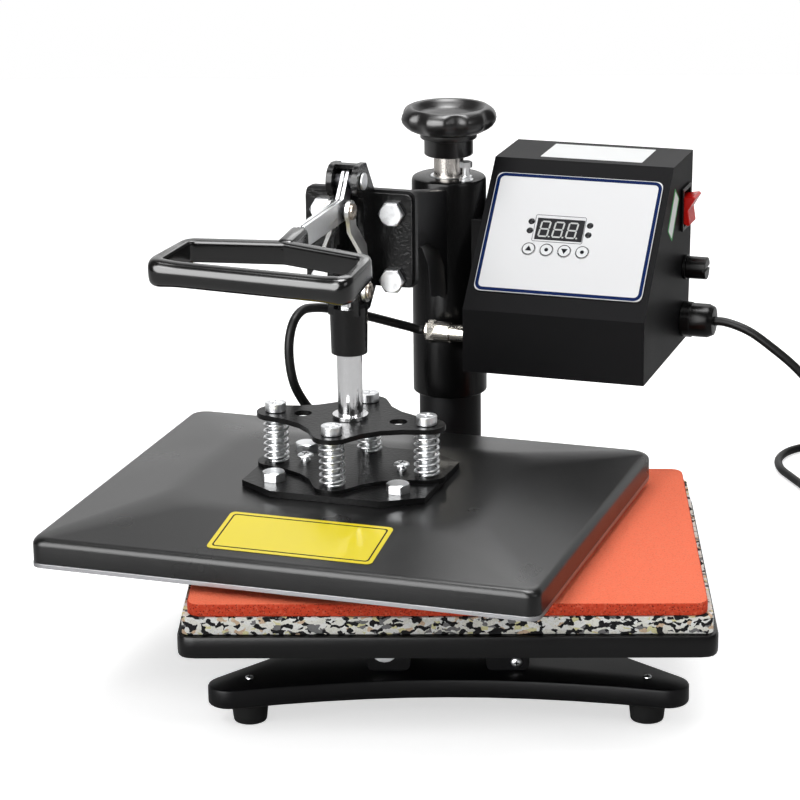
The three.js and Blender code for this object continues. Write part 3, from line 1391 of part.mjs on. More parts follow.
console.log('coil gap', leastGap(coilPath.getSpacedPoints(4 * coilSteps), 2 * mainsCordRadius, 16).toFixed(2));
console.log('mains lead', (mainsCurve.getLength() + coilPath.getLength()).toFixed(0));
place(lead, 'cord_coil', tube(coilPath, mainsCordRadius, coilSides, coilSteps + 3), blackRubber(),
  coilCentreX, coilCentreY, cordFloorZ);

// Mains plug: neck, body and three pins, lying on the floor at the end of the coil
const plugShape = rectangle(mainsPlugWidth, mainsPlugHeight, mainsPlugCorner);
const plugBody = upright(plugShape, mainsPlugLength, mainsPlugEdge).translate(0, 0, plugNeckLength);
const plugNeck = drum(mainsCordRadius + seatGap, plugNeckLength + mainsPlugEdge, smallSides, plugNeckRadius);
const bladeStart = plugNeckLength + mainsPlugLength - cutOverrun;
const blades = [-1, 1].map((side) => block(
  [side * bladeSpacing / 2 - bladeThickness / 2, -bladeDrop - bladeWidth / 2, bladeStart],
  [side * bladeSpacing / 2 + bladeThickness / 2, -bladeDrop + bladeWidth / 2, bladeStart + bladeLength],
));
const groundPin = drum(groundPinRadius, bladeLength, tinySides).translate(0, groundPinOffset, bladeStart);
const mainsPlug = carve([plugBody, plugNeck, ...blades, groundPin])
  .rotateX(quarterTurn)
  .rotateZ(Math.atan2(-tailWay.x, tailWay.y) + halfTurn);
const plugPlace = coilEnd.clone().addScaledVector(tailWay, coilTail + seatGap);
place(lead, 'mains_plug', mainsPlug, blackPlastic(), coilCentreX + plugPlace.x, coilCentreY + plugPlace.y,
  cordFloorZ + plugPlace.z);

// The origin is under the middle of the press itself, without its lead
const box = new THREE.Box3().setFromObject(press, true);
const middle = box.getCenter(new THREE.Vector3());
group.position.set(-middle.x, -middle.y, 0);

export default group;
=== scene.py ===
import json
import math
import bmesh
import bpy
from mathutils import Matrix, Vector


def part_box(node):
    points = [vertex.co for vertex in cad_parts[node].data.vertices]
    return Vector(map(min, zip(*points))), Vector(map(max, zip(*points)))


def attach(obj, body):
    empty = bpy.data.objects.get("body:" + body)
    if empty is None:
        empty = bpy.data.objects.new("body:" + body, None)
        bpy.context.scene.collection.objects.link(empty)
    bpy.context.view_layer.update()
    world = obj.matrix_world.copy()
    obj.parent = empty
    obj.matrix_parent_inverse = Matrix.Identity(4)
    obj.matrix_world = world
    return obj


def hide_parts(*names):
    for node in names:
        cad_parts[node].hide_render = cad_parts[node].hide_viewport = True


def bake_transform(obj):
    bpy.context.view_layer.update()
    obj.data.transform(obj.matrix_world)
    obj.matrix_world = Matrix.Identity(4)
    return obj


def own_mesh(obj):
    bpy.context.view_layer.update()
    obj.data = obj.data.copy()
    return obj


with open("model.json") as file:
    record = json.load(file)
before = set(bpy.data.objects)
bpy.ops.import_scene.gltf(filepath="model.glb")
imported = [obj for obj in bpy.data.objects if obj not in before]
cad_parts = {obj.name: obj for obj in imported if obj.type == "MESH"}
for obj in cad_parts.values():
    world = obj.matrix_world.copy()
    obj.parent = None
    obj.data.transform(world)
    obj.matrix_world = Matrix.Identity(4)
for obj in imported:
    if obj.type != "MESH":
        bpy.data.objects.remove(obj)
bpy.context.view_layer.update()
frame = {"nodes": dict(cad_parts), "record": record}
record = frame["record"]
bodyOf = {node: body for body, nodes in record["behaviour"]["bodies"].items() for node in nodes}
slotOf = {entry["node"]: entry["material_slot"] for entry in record["subparts"]}
print("frame loaded:", len(frame["nodes"]), "nodes")


def moved(x=0.0, y=0.0, z=0.0):
    return Matrix.Translation((x, y, z))


def rotated(degrees, axis):
    return Matrix.Rotation(math.radians(degrees), 4, axis)


# Frames: pieces are drawn in millimetres, and these matrices bring them to the row frame in metres
press = {"columnY": 250.0, "swing": 17.0, "platenA": 250.0}
millimetres = Matrix.Scale(0.001, 4)
postMiddle = sum(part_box("column_post"), Vector()) * 500
standFrame = millimetres @ moved(postMiddle.x, postMiddle.y - press["columnY"])
columnFrame = standFrame @ moved(0, press["columnY"])
armTurn = rotated(-90 - press["swing"], "Z")
armFrame = columnFrame @ armTurn
panel = {"foot": (71.0, 0.0, 239.6), "top": (-22.0, 0.0, 343.5)}
panelRise = (Vector(panel["top"]) - Vector(panel["foot"])).normalized()
panelOut = Vector((panelRise.z, 0, -panelRise.x))
panelTurn = Matrix((Vector((0, 1, 0)), panelRise, panelOut)).transposed().to_4x4()
panelFrame = armFrame @ moved(*panel["foot"]) @ panelTurn


# Shader maths
class Link:
    def __init__(self, graph, socket):
        self.graph = graph
        self.socket = socket

    def calc(self, operation, first, second, clamp=False):
        settings = {"operation": operation, "use_clamp": clamp}
        return self.graph.node("ShaderNodeMath", settings=settings, _0=first, _1=second)

    def __add__(self, other):
        return self.calc("ADD", self, other)

    def __sub__(self, other):
        return self.calc("SUBTRACT", self, other)

    def __rsub__(self, other):
        return self.calc("SUBTRACT", other, self)

    def __mul__(self, other):
        return self.calc("MULTIPLY", self, other)

    def __lt__(self, other):
        return self.calc("LESS_THAN", self, other)

    __radd__ = __add__
    __rmul__ = __mul__

    def clamped(self):
        return self.calc("ADD", self, 0.0, clamp=True)


class Graph:
    def __init__(self, tree):
        self.tree = tree

    # a socket is named by its label with underscores for spaces, or by its number after an underscore
    def put(self, node, name, value):
        socket = node.inputs[int(name[1:]) if name[0] == "_" else name.replace("_", " ")]
        if isinstance(value, Link):
            self.tree.links.new(value.socket, socket)
        else:
            socket.default_value = (*value, 1) if socket.type == "RGBA" else value

    def node(self, kind, output=0, settings=None, **sockets):
        node = self.tree.nodes.new(kind)
        for name, value in (settings or {}).items():
            setattr(node, name, value)
        for name, value in sockets.items():
            self.put(node, name, value)
        return Link(self, node.outputs[output])

    def ray(self, kind):
        return self.node("ShaderNodeLightPath", output=f"Is {kind} Ray")


finishes = {}


class Finish(Graph):
    def __init__(self, name, **fixed):
        finishes[name] = bpy.data.materials.new(name)
        finishes[name].use_nodes = True
        super().__init__(finishes[name].node_tree)
        self.place = self.node("ShaderNodeTexCoord", output="Object")
        for socket, value in fixed.items():
            self.feed(socket, value)

    def feed(self, name, value):
        self.put(self.tree.nodes["Principled BSDF"], name, value)

    def noise(self, scale, detail):
        return self.node("ShaderNodeTexNoise", Vector=self.place, Scale=scale, Detail=detail)

    def mix(self, factor, first, second):
        return self.node("ShaderNodeMix", output=2, settings={"data_type": "RGBA"}, _0=factor, _6=first, _7=second)

    def bump(self, height, depth):
        self.feed("Normal", self.node("ShaderNodeBump", Height=height, Distance=depth))


# clouds are the large unevenness of a finish, grain the fine one
paintCloud = {"scale": 14.0, "detail": 3.0, "spread": 0.1}
plasticCloud = {"scale": 30.0, "detail": 2.0, "spread": 0.06, "grain": 900.0, "coatRoughness": 0.22}
platedCloud = {"scale": 420.0, "detail": 4.0, "grain": 1500.0, "stain": 140.0, "stainEdge": 5.0}


def metalPaint(name, colour, roughness, grainScale, grainDepth, shine, coat=0.0):
    paint = Finish(name, Base_Color=colour, Coat_Weight=coat, Specular_IOR_Level=shine)
    cloud = paint.noise(paintCloud["scale"], paintCloud["detail"])
    paint.feed("Roughness", roughness + paintCloud["spread"] * (cloud - 0.5))
    paint.bump(paint.noise(grainScale, 2.0), grainDepth)


def plastic(name, colour, roughness, coat=0.0, grainDepth=0.00003, shine=0.3):
    skin = Finish(name, Base_Color=colour, Coat_Weight=coat, Coat_Roughness=plasticCloud["coatRoughness"],
                  Specular_IOR_Level=shine)
    cloud = skin.noise(plasticCloud["scale"], plasticCloud["detail"])
    skin.feed("Roughness", roughness + plasticCloud["spread"] * (cloud - 0.5))
    skin.bump(skin.noise(plasticCloud["grain"], 1.0), grainDepth)


def plated(name, colour, roughness, streak, stain=None, mottle=0.86, grain=0.00002):
    plate = Finish(name, Metallic=1.0)
    cloud = plate.noise(platedCloud["scale"], platedCloud["detail"])
    tint = plate.mix(cloud, colour, tuple(c * mottle for c in colour))
    if stain:
        patch = ((plate.noise(platedCloud["stain"], 5.0) - 0.5) * platedCloud["stainEdge"]).clamped()
        tint = plate.mix(patch, tint, stain)
    plate.feed("Base Color", tint)
    plate.feed("Roughness", roughness + streak * (cloud - 0.5))
    plate.bump(plate.noise(platedCloud["grain"], 3.0), grain)


pressBlack = (0.005, 0.005, 0.0052)
metalPaint("blackPowder", (0.006, 0.006, 0.0065), 0.4, 1300.0, 0.00011, 0.13)
metalPaint("blackSheet", (0.005, 0.005, 0.0051), 0.29, 1300.0, 0.0001, 0.34)
metalPaint("trayPaint", pressBlack, 0.25, 1300.0, 0.0001, 0.2)
metalPaint("boxPaint", (0.0055, 0.0055, 0.006), 0.42, 1500.0, 0.00006, 0.05)
metalPaint("sleevePaint", pressBlack, 0.2, 700.0, 0.00005, 0.14)
metalPaint("platePaint", pressBlack, 0.34, 420.0, 0.00025, 0.12, coat=0.06)
metalPaint("castPaint", pressBlack, 0.2, 420.0, 0.0003, 0.2, coat=0.15)
plastic("kneadedRubber", (0.009, 0.009, 0.009), 0.6, shine=0.2)
plastic("cordRubber", (0.006, 0.006, 0.006), 0.42, shine=0.18)
plastic("knobPlastic", (0.006, 0.0055, 0.0055), 0.32, coat=0.08, grainDepth=0.00001, shine=0.5)
plastic("housingPlastic", (0.004, 0.004, 0.004), 0.26, shine=0.15)
plastic("dippedVinyl", (0.002, 0.002, 0.002), 0.14, coat=0.55, grainDepth=0.00001)
plastic("whiteFilm", (0.86, 0.865, 0.875), 0.3, shine=0.15)
plastic("keyPlastic", (0.84, 0.85, 0.86), 0.35)
plastic("inkBlue", (0.002, 0.014, 0.085), 0.3, shine=0.05)
# dark ink for printed lines and marks, also used as painted shade in the screws' cross recesses
plastic("inkDarkAndPaintedShade", (0.012, 0.012, 0.015), 0.4, shine=0.05)
plastic("inkGrey", (0.2, 0.2, 0.22), 0.4, shine=0.05)
plastic("windowTint", (0.006, 0.006, 0.008), 0.3, grainDepth=0.0, shine=0.12)
plastic("digitGrey", (0.6, 0.61, 0.6), 0.35, grainDepth=0.0)
plastic("switchRed", (0.62, 0.008, 0.006), 0.22, grainDepth=0.0, shine=0.35)
plastic("labelPaper", (0.76, 0.77, 0.77), 0.45)
plastic("labelGreen", (0.02, 0.3, 0.06), 0.4)
plastic("boardGreen", (0.02, 0.13, 0.04), 0.5)
plated("zinc", (0.78, 0.79, 0.8), 0.34, 0.08)
plated("zincHead", (0.68, 0.69, 0.7), 0.4, 0.2, stain=(0.42, 0.42, 0.43))
plated("zincWorn", (0.76, 0.76, 0.75), 0.36, 0.1)
plated("turnedSteel", (0.6, 0.565, 0.53), 0.27, 0.03, mottle=0.96, grain=0.000003)
plated("rivetBrass", (0.44, 0.385, 0.33), 0.28, 0.08)
# near-black spacer colour: painted shade for the dark gap between the lever strips and the fork ears
plated("spacerPaintedShade", (0.03, 0.03, 0.032), 0.4, 0.1)
plated("polishedSteel", (0.8, 0.8, 0.81), 0.1, 0.05)
plated("nickel", (0.82, 0.78, 0.7), 0.16, 0.06)
plated("dullAluminium", (0.34, 0.34, 0.35), 0.36, 0.1)

stickerFilm = Finish("labelYellow", Base_Color=(0.86, 0.7, 0.01), Coat_Weight=0.15)
stickerFilm.feed("Roughness", 0.3 + 0.08 * stickerFilm.noise(60.0, 2.0))

# bonded foam: chips of several colours, squeezed flat, each a cell of its own
chips = {"scale": 330.0, "flat": (0.66, 0.66, 1.25), "warp": 160.0, "warped": 0.007, "pores": 1100.0,
         "poreShade": (0.03, 0.028, 0.024), "relief": 0.0009,
         "tones": [(0.0, (0.008, 0.008, 0.009)), (0.31, (0.86, 0.85, 0.78)), (0.56, (0.78, 0.74, 0.42)),
                   (0.63, (0.2, 0.2, 0.2)), (0.71, (0.9, 0.9, 0.87)), (0.93, (0.7, 0.52, 0.36))]}
foam = Finish("fleckedFoam", Specular_IOR_Level=0.2, Roughness=0.95)
warp = foam.node("ShaderNodeTexNoise", output="Color", Vector=foam.place, Scale=chips["warp"], Detail=2.0)
spot = foam.node("ShaderNodeMix", output=1, settings={"data_type": "VECTOR"}, _0=chips["warped"], _4=foam.place,
                 _5=warp)
flat = foam.node("ShaderNodeVectorMath", settings={"operation": "MULTIPLY"}, _0=spot, _1=chips["flat"])
chip = foam.node("ShaderNodeTexVoronoi", output="Color", Vector=flat, Scale=chips["scale"], Randomness=1.0)
colour = foam.node("ShaderNodeValToRGB", Fac=foam.node("ShaderNodeSeparateColor", Color=chip))
ramp = colour.socket.node.color_ramp
ramp.interpolation = "CONSTANT"
while len(ramp.elements) < len(chips["tones"]):
    ramp.elements.new(0.5)
for element, (position, tone) in zip(ramp.elements, chips["tones"]):
    element.position = position
    element.color = (*tone, 1)
# fine specks darkened towards near black: painted shade of the foam's pores
pores = foam.noise(chips["pores"], 3.0)
foam.feed("Base Color", foam.mix(((pores - 0.5) * 2.0).clamped() * 0.5, colour, chips["poreShade"]))
foam.bump(pores, chips["relief"])

# open-celled silicone: a fine skin on top, torn cells on the cut sides; the cells' hollows are painted dark as
# painted shade, more on the cut sides
sponge = {"skinTop": 0.1127, "skin": (0.94, 0.195, 0.1), "cell": (0.16, 0.012, 0.004), "cut": (0.6, 0.055, 0.02),
          "dust": (0.9, 0.26, 0.15), "cells": 560.0, "cellReach": 0.34, "cellEdge": 7.0, "inSkin": 0.16,
          "inCut": 0.74, "relief": 0.0005}
pad = Finish("orangeSponge", Roughness=0.8, Specular_IOR_Level=0.2)
side = pad.node("ShaderNodeSeparateXYZ", output="Z", Vector=pad.place) < sponge["skinTop"]
pores = pad.node("ShaderNodeTexVoronoi", output="Distance", Vector=pad.place, Scale=sponge["cells"])
cloud = pad.noise(420.0, 4.0)
cellShade = ((sponge["cellReach"] - pores) * sponge["cellEdge"]).clamped() * (sponge["inSkin"] + sponge["inCut"] * side)
ground = pad.mix(side, sponge["skin"], sponge["cut"])
grained = pad.mix(((cloud - 0.5) * 3.0).clamped() * 0.5, ground, sponge["dust"])
pad.feed("Base Color", pad.mix(cellShade, grained, sponge["cell"]))
pad.bump(cloud + pores, sponge["relief"])
print("finishes made:", len(finishes))


# Mesh helpers
def tidy(mesh, smoothAngle):
    for face in mesh.faces:
        face.smooth = True
    limit = math.radians(smoothAngle)
    for edge in mesh.edges:
        edge.smooth = len(edge.link_faces) == 2 and edge.calc_face_angle(0.0) < limit


def added(name, data):
    made = bpy.data.objects.new(name, data)
    bpy.context.scene.collection.objects.link(made)
    return made


def built(name, mesh, finish):
    data = bpy.data.meshes.new(name)
    mesh.to_mesh(data)
    mesh.free()
    data.materials.append(finishes[finish])
    return added(name, data)


def piece(name, mesh, matrix, body, slot, finish, replaced=(), smoothAngle=35.0, edgeWidth=0.0, edgeSteps=2,
          keepNormals=False):
    bmesh.ops.transform(mesh, matrix=matrix, verts=mesh.verts)
    bmesh.ops.remove_doubles(mesh, verts=mesh.verts, dist=1e-6)
    if not keepNormals:
        bmesh.ops.recalc_face_normals(mesh, faces=mesh.faces)
    tidy(mesh, smoothAngle)
    made = built(name, mesh, finish)
    if edgeWidth:
        edge = made.modifiers.new("edge", "BEVEL")
        edge.width = edgeWidth
        edge.segments = edgeSteps
        edge.limit_method = "ANGLE"
        edge.angle_limit = math.radians(smoothAngle)
        edge.harden_normals = True
    if body:
        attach(made, body)
    if replaced:
        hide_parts(*replaced)
    return made


# a finer piece in the place of a node's solid
def standIn(node, ending, mesh, matrix, finish, *edges, **more):
    return piece(node + ending, mesh, matrix, bodyOf[node], slotOf[node], finish, (node,), *edges, **more)


# the node's solid itself, with its edges rounded a little
def dressed(node, finish, edgeWidth=0.0005, smoothAngle=35.0, edgeSteps=2):
    mesh = bmesh.new()
    mesh.from_mesh(frame["nodes"][node].data)
    bmesh.ops.remove_doubles(mesh, verts=mesh.verts, dist=1e-6)
    bmesh.ops.dissolve_degenerate(mesh, edges=mesh.edges, dist=1e-6)
    bmesh.ops.dissolve_limit(mesh, angle_limit=math.radians(0.5), verts=mesh.verts, edges=mesh.edges)
    return standIn(node, "_skin", mesh, Matrix.Identity(4), finish, smoothAngle, edgeWidth, edgeSteps,
                   keepNormals=True)


def lathe(profile, steps=96):
    mesh = bmesh.new()
    points = [mesh.verts.new((r, 0, z)) for r, z in profile]
    wires = [mesh.edges.new(pair) for pair in zip(points, points[1:])]
    bmesh.ops.spin(mesh, geom=points + wires, cent=(0, 0, 0), axis=(0, 0, 1), angle=2 * math.pi, steps=steps,
                   use_merge=True)
    bmesh.ops.remove_doubles(mesh, verts=mesh.verts, dist=1e-4)
    bmesh.ops.recalc_face_normals(mesh, faces=mesh.faces)
    return mesh


def merged(target, source, matrix=Matrix.Identity(4)):
    bmesh.ops.transform(source, matrix=matrix, verts=source.verts)
    store = bpy.data.meshes.new("passing")
    source.to_mesh(store)
    source.free()
    target.from_mesh(store)
    bpy.data.meshes.remove(store)
    return target


def block(size, middle):
    mesh = bmesh.new()
    bmesh.ops.create_cube(mesh, size=1.0)
    bmesh.ops.scale(mesh, vec=size, verts=mesh.verts)
    bmesh.ops.translate(mesh, vec=middle, verts=mesh.verts)
    return mesh


def closed(mesh, ring):
    return [mesh.edges.new((ring[i], ring[(i + 1) % len(ring)])) for i in range(len(ring))]


def thickened(mesh, height):
    grown = bmesh.ops.extrude_face_region(mesh, geom=mesh.faces[:])
    top = [v for v in grown["geom"] if isinstance(v, bmesh.types.BMVert)]
    bmesh.ops.translate(mesh, vec=(0, 0, height), verts=top)
    bmesh.ops.recalc_face_normals(mesh, faces=mesh.faces)
    return mesh


def outline(points, height, edge=0.0, edgeSteps=2):
    mesh = bmesh.new()
    base = mesh.faces.new([mesh.verts.new((x, y, 0)) for x, y in points])
    bmesh.ops.recalc_face_normals(mesh, faces=[base])
    thickened(mesh, height)
    if edge:
        rims = [e for e in mesh.edges if abs(e.verts[0].co.z - e.verts[1].co.z) < 1e-6]
        bmesh.ops.bevel(mesh, geom=rims, offset=edge, offset_type="OFFSET", segments=edgeSteps, profile=0.5,
                        affect="EDGES", material=-1)
    return mesh


# a flat plate with holes, or a narrow band where it is bridged
def plate(rings, height, bridged=False):
    mesh = bmesh.new()
    wires = []
    for points in rings:
        wires += closed(mesh, [mesh.verts.new((x, y, 0)) for x, y in points])
    if bridged:
        bmesh.ops.bridge_loops(mesh, edges=wires)
    else:
        bmesh.ops.triangle_fill(mesh, edges=wires, use_beauty=True)
    return thickened(mesh, height)


def roundedCorners(width, height, radius, steps=6):
    points = []
    for turn, (sx, sy) in enumerate(((1, 1), (-1, 1), (-1, -1), (1, -1))):
        centre = (sx * (width / 2 - radius), sy * (height / 2 - radius))
        points += arc(centre, radius, 90 * turn, 90 * turn + 90, steps)
    return points


def arc(centre, radius, start, end, steps):
    angles = [math.radians(start + (end - start) * i / steps) for i in range(steps + 1)]
    return [(centre[0] + radius * math.cos(a), centre[1] + radius * math.sin(a)) for a in angles]


def circle(radius, sides, centre=(0, 0)):
    return arc(centre, radius, 0, 360 - 360 / sides, sides - 1)


# a bolt head whose corners are turned off to a cone
hexForm = {"sideSteps": 6, "fall": 0.55, "drop": 0.04, "crown": 0.95}


def hexHead(radius, height):
    mesh = bmesh.new()
    flat = radius * math.cos(math.pi / 6)
    rings = [[], [], []]
    corners = [Vector((x, y, 0)) for x, y in circle(radius, 6)]
    for start, end in zip(corners, corners[1:] + corners[:1]):
        for step in range(hexForm["sideSteps"]):
            edge = start.lerp(end, step / hexForm["sideSteps"])
            lowered = (edge.length - flat) * hexForm["fall"] + radius * hexForm["drop"]
            crown = edge.normalized() * flat * hexForm["crown"]
            for ring, point, z in zip(rings, (edge, edge, crown), (0, height - lowered, height)):
                ring.append(mesh.verts.new(point + Vector((0, 0, z))))
    loops = [closed(mesh, ring) for ring in rings]
    for low, high in zip(loops, loops[1:]):
        bmesh.ops.bridge_loops(mesh, edges=low + high)
    mesh.faces.new(rings[0])
    mesh.faces.new(rings[2])
    bmesh.ops.recalc_face_normals(mesh, faces=mesh.faces)
    return mesh


def tube(path, radius, sides):
    mesh = bmesh.new()
    side = (path[1] - path[0]).orthogonal().normalized()
    rings = []
    for i, point in enumerate(path):
        ahead = (path[min(i + 1, len(path) - 1)] - path[max(i - 1, 0)]).normalized()
        side = (side - ahead * side.dot(ahead)).normalized()
        other = ahead.cross(side)
        ring = [mesh.verts.new(point + radius * (math.cos(a) * side + math.sin(a) * other))
                for a in (2 * math.pi * k / sides for k in range(sides))]
        rings.append(closed(mesh, ring))
        if i in (0, len(path) - 1):
            mesh.faces.new(ring)
        if i:
            bmesh.ops.bridge_loops(mesh, edges=rings[-2] + rings[-1])
    return mesh


def smoothPath(points, perSpan):
    path = []
    ends = [2 * points[0] - points[1]] + points + [2 * points[-1] - points[-2]]
    for i in range(1, len(points)):
        p0, p1, p2, p3 = ends[i - 1:i + 3]
        d0, d1, d2 = (math.sqrt((b - a).length) for a, b in ((p0, p1), (p1, p2), (p2, p3)))
        t1 = ((p1 - p0) / d0 - (p2 - p0) / (d0 + d1) + (p2 - p1) / d1) * d1
        t2 = ((p2 - p1) / d1 - (p3 - p1) / (d1 + d2) + (p3 - p2) / d2) * d1
        for k in range(perSpan):
            t = k / perSpan
            path.append(p1 * (2 * t ** 3 - 3 * t ** 2 + 1) + t1 * (t ** 3 - 2 * t ** 2 + t)
                        + p2 * (3 * t ** 2 - 2 * t ** 3) + t2 * (t ** 3 - t ** 2))
    path.append(points[-1].copy())
    return path


# Camera, at the photograph's place and angle
view = {"place": (21.0, -2214.2, 914.8), "pitch": 17.46, "yaw": -1.46, "roll": -0.67, "lens": 139.9, "sensor": 36.0,
        "reach": 50.0}
cameraData = bpy.data.cameras.new("camera")
cameraData.lens = view["lens"]
cameraData.sensor_width = view["sensor"]
cameraData.clip_end = view["reach"]
camera = added("camera", cameraData)
bpy.context.scene.camera = camera
camera.matrix_world = (Matrix.Translation(standFrame @ Vector(view["place"])) @ rotated(-view["yaw"], "Z")
                       @ rotated(90 - view["pitch"], "X") @ rotated(view["roll"], "Z"))

# Cords
mainsLead = {"length": 1.8, "diameter": 0.0072, "exits": ((-60, 209.6, 207.5), (-60, 217.1, 207.5)),
             "coilRadius": 47.5, "coilPitch": 7.8, "coilTurns": 3.625, "coilSteps": 24, "crossing": 0.5,
             "coilCentre": (368.0, 362.0, 3.8), "tail": 22.0}
heaterLead = {"diameter": 0.0072}
mainsRoute = [
    (244, 237, 202), (265, 231, 188), (285, 227, 171), (304, 225, 148), (322, 226, 122), (340, 229, 94),
    (358, 235, 65), (377, 245, 37), (397, 260, 15), (417, 281, 5), (432, 305, 3.8), (442, 335, 3.8),
    (447, 370, 3.8), (446, 410, 3.8), (438, 450, 3.8), (422, 488, 3.8), (398, 517, 3.8), (367, 534, 3.8),
    (336, 535, 3.8), (312, 521, 3.8), (299, 497, 3.8), (298, 470, 3.8), (305, 446, 3.8), (313, 422, 3.8),
    (318.5, 395, 3.8)]
heaterRoute = [
    (50, -6.6, 213), (50, -10.2, 213), (54, -16, 216), (64, -24, 221), (78, -29, 227), (100, -35, 236),
    (125, -42, 246), (150, -48.5, 255), (174, -54, 262), (194, -57.5, 265), (208, -59.5, 260),
    (215.5, -60.5, 248), (218, -60, 232), (217, -57, 213), (209, -52, 196), (197, -48, 183), (184, -45.5, 175),
    (177, -45, 167.7), (177, -45, 160.8)]


def fromArm(point):
    return armTurn @ Vector(point) + Vector((0, press["columnY"], 0))


def mainsPath():
    centre = Vector(mainsLead["coilCentre"])
    turns = mainsLead["coilTurns"]
    steps = round(turns * mainsLead["coilSteps"])
    coil = []
    for i in range(steps + 1):
        turned = turns * i / steps
        radius = mainsLead["coilRadius"] - mainsLead["coilPitch"] * min(turned, turns - turned)
        angle = math.pi + 2 * math.pi * turned
        t = min(max((turned - turns / 2) / mainsLead["crossing"] + 0.5, 0), 1)
        climb = mainsLead["coilPitch"] * t * t * (3 - 2 * t)
        coil.append(centre + Vector((radius * math.cos(angle), radius * math.sin(angle), climb)))
    tail = Vector((-math.sin(angle), math.cos(angle), 0)) * mainsLead["tail"]
    free = smoothPath([fromArm(p) for p in mainsLead["exits"]] + [Vector(p) for p in mainsRoute] + [coil[0]], 6)
    end = smoothPath([coil[-2], coil[-1], coil[-1] + tail / 2, coil[-1] + tail], 4)[4:]
    return free + smoothPath(coil, 2)[1:] + end[1:]


def laid(name, path, facts, replaced):
    points = [standFrame @ p for p in path]
    made = piece(name, tube(path, facts["diameter"] * 500, 16), standFrame, None, "cord_rubber", "cordRubber",
                 replaced, 60.0)
    return made, points, sum((b - a).length for a, b in zip(points, points[1:]))


mainsPlug = dressed("mains_plug", "cordRubber", 0.0006)
mains, mainsPoints, mainsMeasured = laid("mains_lead", mainsPath(), mainsLead, ("mains_cord", "cord_coil"))
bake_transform(mains)
heaterPath = smoothPath([fromArm(p) for p in heaterRoute], 6)
heater, heaterPoints, heaterMeasured = laid("heater_lead", heaterPath, heaterLead, ("heater_cable",))
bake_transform(heater)
print("cords laid: mains", round(mainsMeasured, 3), "heater", round(heaterMeasured, 3))

# Stand
dressed("base_frame", "blackPowder", 0.0006)
dressed("lower_platen", "trayPaint", 0.0008, edgeSteps=3)
dressed("rail_left", "blackPowder", 0.0004)
dressed("rail_right", "blackPowder", 0.0004)
dressed("rail_bolt", "zinc", 0.0004)
foot = [(0, 1.2), (6, 1.2), (6.8, 0), (10.8, 0), (11.9, 0.5), (12.4, 1.6), (14.0, 16.5), (14.2, 17.3), (13.8, 17.7),
        (3.0, 17.7), (3.0, 28.7), (0, 28.7)]
for node in ("foot_front_left", "foot_front_right", "foot_rear_left", "foot_rear_right"):
    middle = sum(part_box(node), Vector()) / 2
    standIn(node, "_rubber", lathe(foot, 48), moved(middle.x, middle.y) @ millimetres, "kneadedRubber", 40.0)

# small screws with round heads, over the feet and in the right rail's front end; each head's cross recess is a thin
# dark block of painted shade
screwForm = {"head": [(0, 1), (0.5, 0.94), (0.8, 0.7), (0.96, 0.35), (1, 0), (0, 0)], "slot": 0.95, "slotWidth": 0.2,
             "slotHeight": 0.14, "slotUp": 0.95}
baseScrew = {"radius": 3.2, "rise": 1.4, "seat": 33.0}
railScrew = {"radius": 4.2, "rise": 2.2, "aside": 0.7, "up": 0.0066}


def screwAt(name, matrix, facts, body):
    radius, rise = facts["radius"], facts["rise"]
    head = lathe([(radius * r, rise * z) for r, z in screwForm["head"]], 32)
    piece(name, head, matrix, body, "zinc_steel", "zinc")
    # the cross: a thin near-black block on the head top, painted shade in place of the recess
    size = Vector((radius * screwForm["slot"], radius * screwForm["slotWidth"], rise * screwForm["slotHeight"]))
    middle = (0, 0, rise * screwForm["slotUp"])
    crossShade = merged(block(size, middle), block(size.yxz, middle))
    piece(name + "_cross_shade", crossShade, matrix, body, "zinc_steel", "inkDarkAndPaintedShade")


for number, (x, y) in enumerate(((-146.5, -92), (146.5, -92), (-146.5, 292), (146.5, 292)), 1):
    screwAt(f"base_screw_{number}", standFrame @ moved(x, y, baseScrew["seat"]), baseScrew, "stand")
low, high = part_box("rail_right")
railPlace = moved(low.x + railScrew["aside"] * (high.x - low.x), low.y, low.z + railScrew["up"])
screwAt("rail_screw", railPlace @ millimetres @ rotated(90, "X"), railScrew, "stand")

# foam sheet and pad: cut edges that waver a little
foamSheet = {"corner": 5.0, "waver": 0.35, "edge": 0.5, "fill": 0.9}
padSheet = {"corner": 10.0, "waver": 0.25, "edge": 1.6, "fill": 1.0}
cut = {"longEdge": 60, "steps": 40, "border": 14, "onTop": 0.6}


def softSlab(node, facts, finish):
    low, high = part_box(node)
    size = (high - low) * 1000
    mesh = outline(roundedCorners(size.x, size.y, facts["corner"]), size.z, facts["edge"], 3)
    long = [e for e in mesh.edges if e.calc_length() > cut["longEdge"]]
    bmesh.ops.subdivide_edges(mesh, edges=long, cuts=cut["steps"], use_grid_fill=True)
    for v in mesh.verts:
        x, y = v.co.x, v.co.y
        wave = math.sin(x * 0.043 + 1.3) * math.cos(y * 0.051 + 0.4) + 0.5 * math.sin(x * 0.11 + y * 0.07)
        depth = facts["waver"] * abs(wave) * (1.0 if 0 < v.co.z < size.z else cut["onTop"])
        v.co.x -= math.copysign(depth, x) if abs(x) > size.x / 2 - cut["border"] else 0
        v.co.y -= math.copysign(depth, y) if abs(y) > size.y / 2 - cut["border"] else 0
    middle = (low + high) / 2
    made = standIn(node, "_soft", mesh, moved(middle.x, middle.y, low.z) @ millimetres, finish, 50.0)


softSlab("foam_sheet", foamSheet, "fleckedFoam")
softSlab("silicone_pad", padSheet, "orangeSponge")
print("stand done")

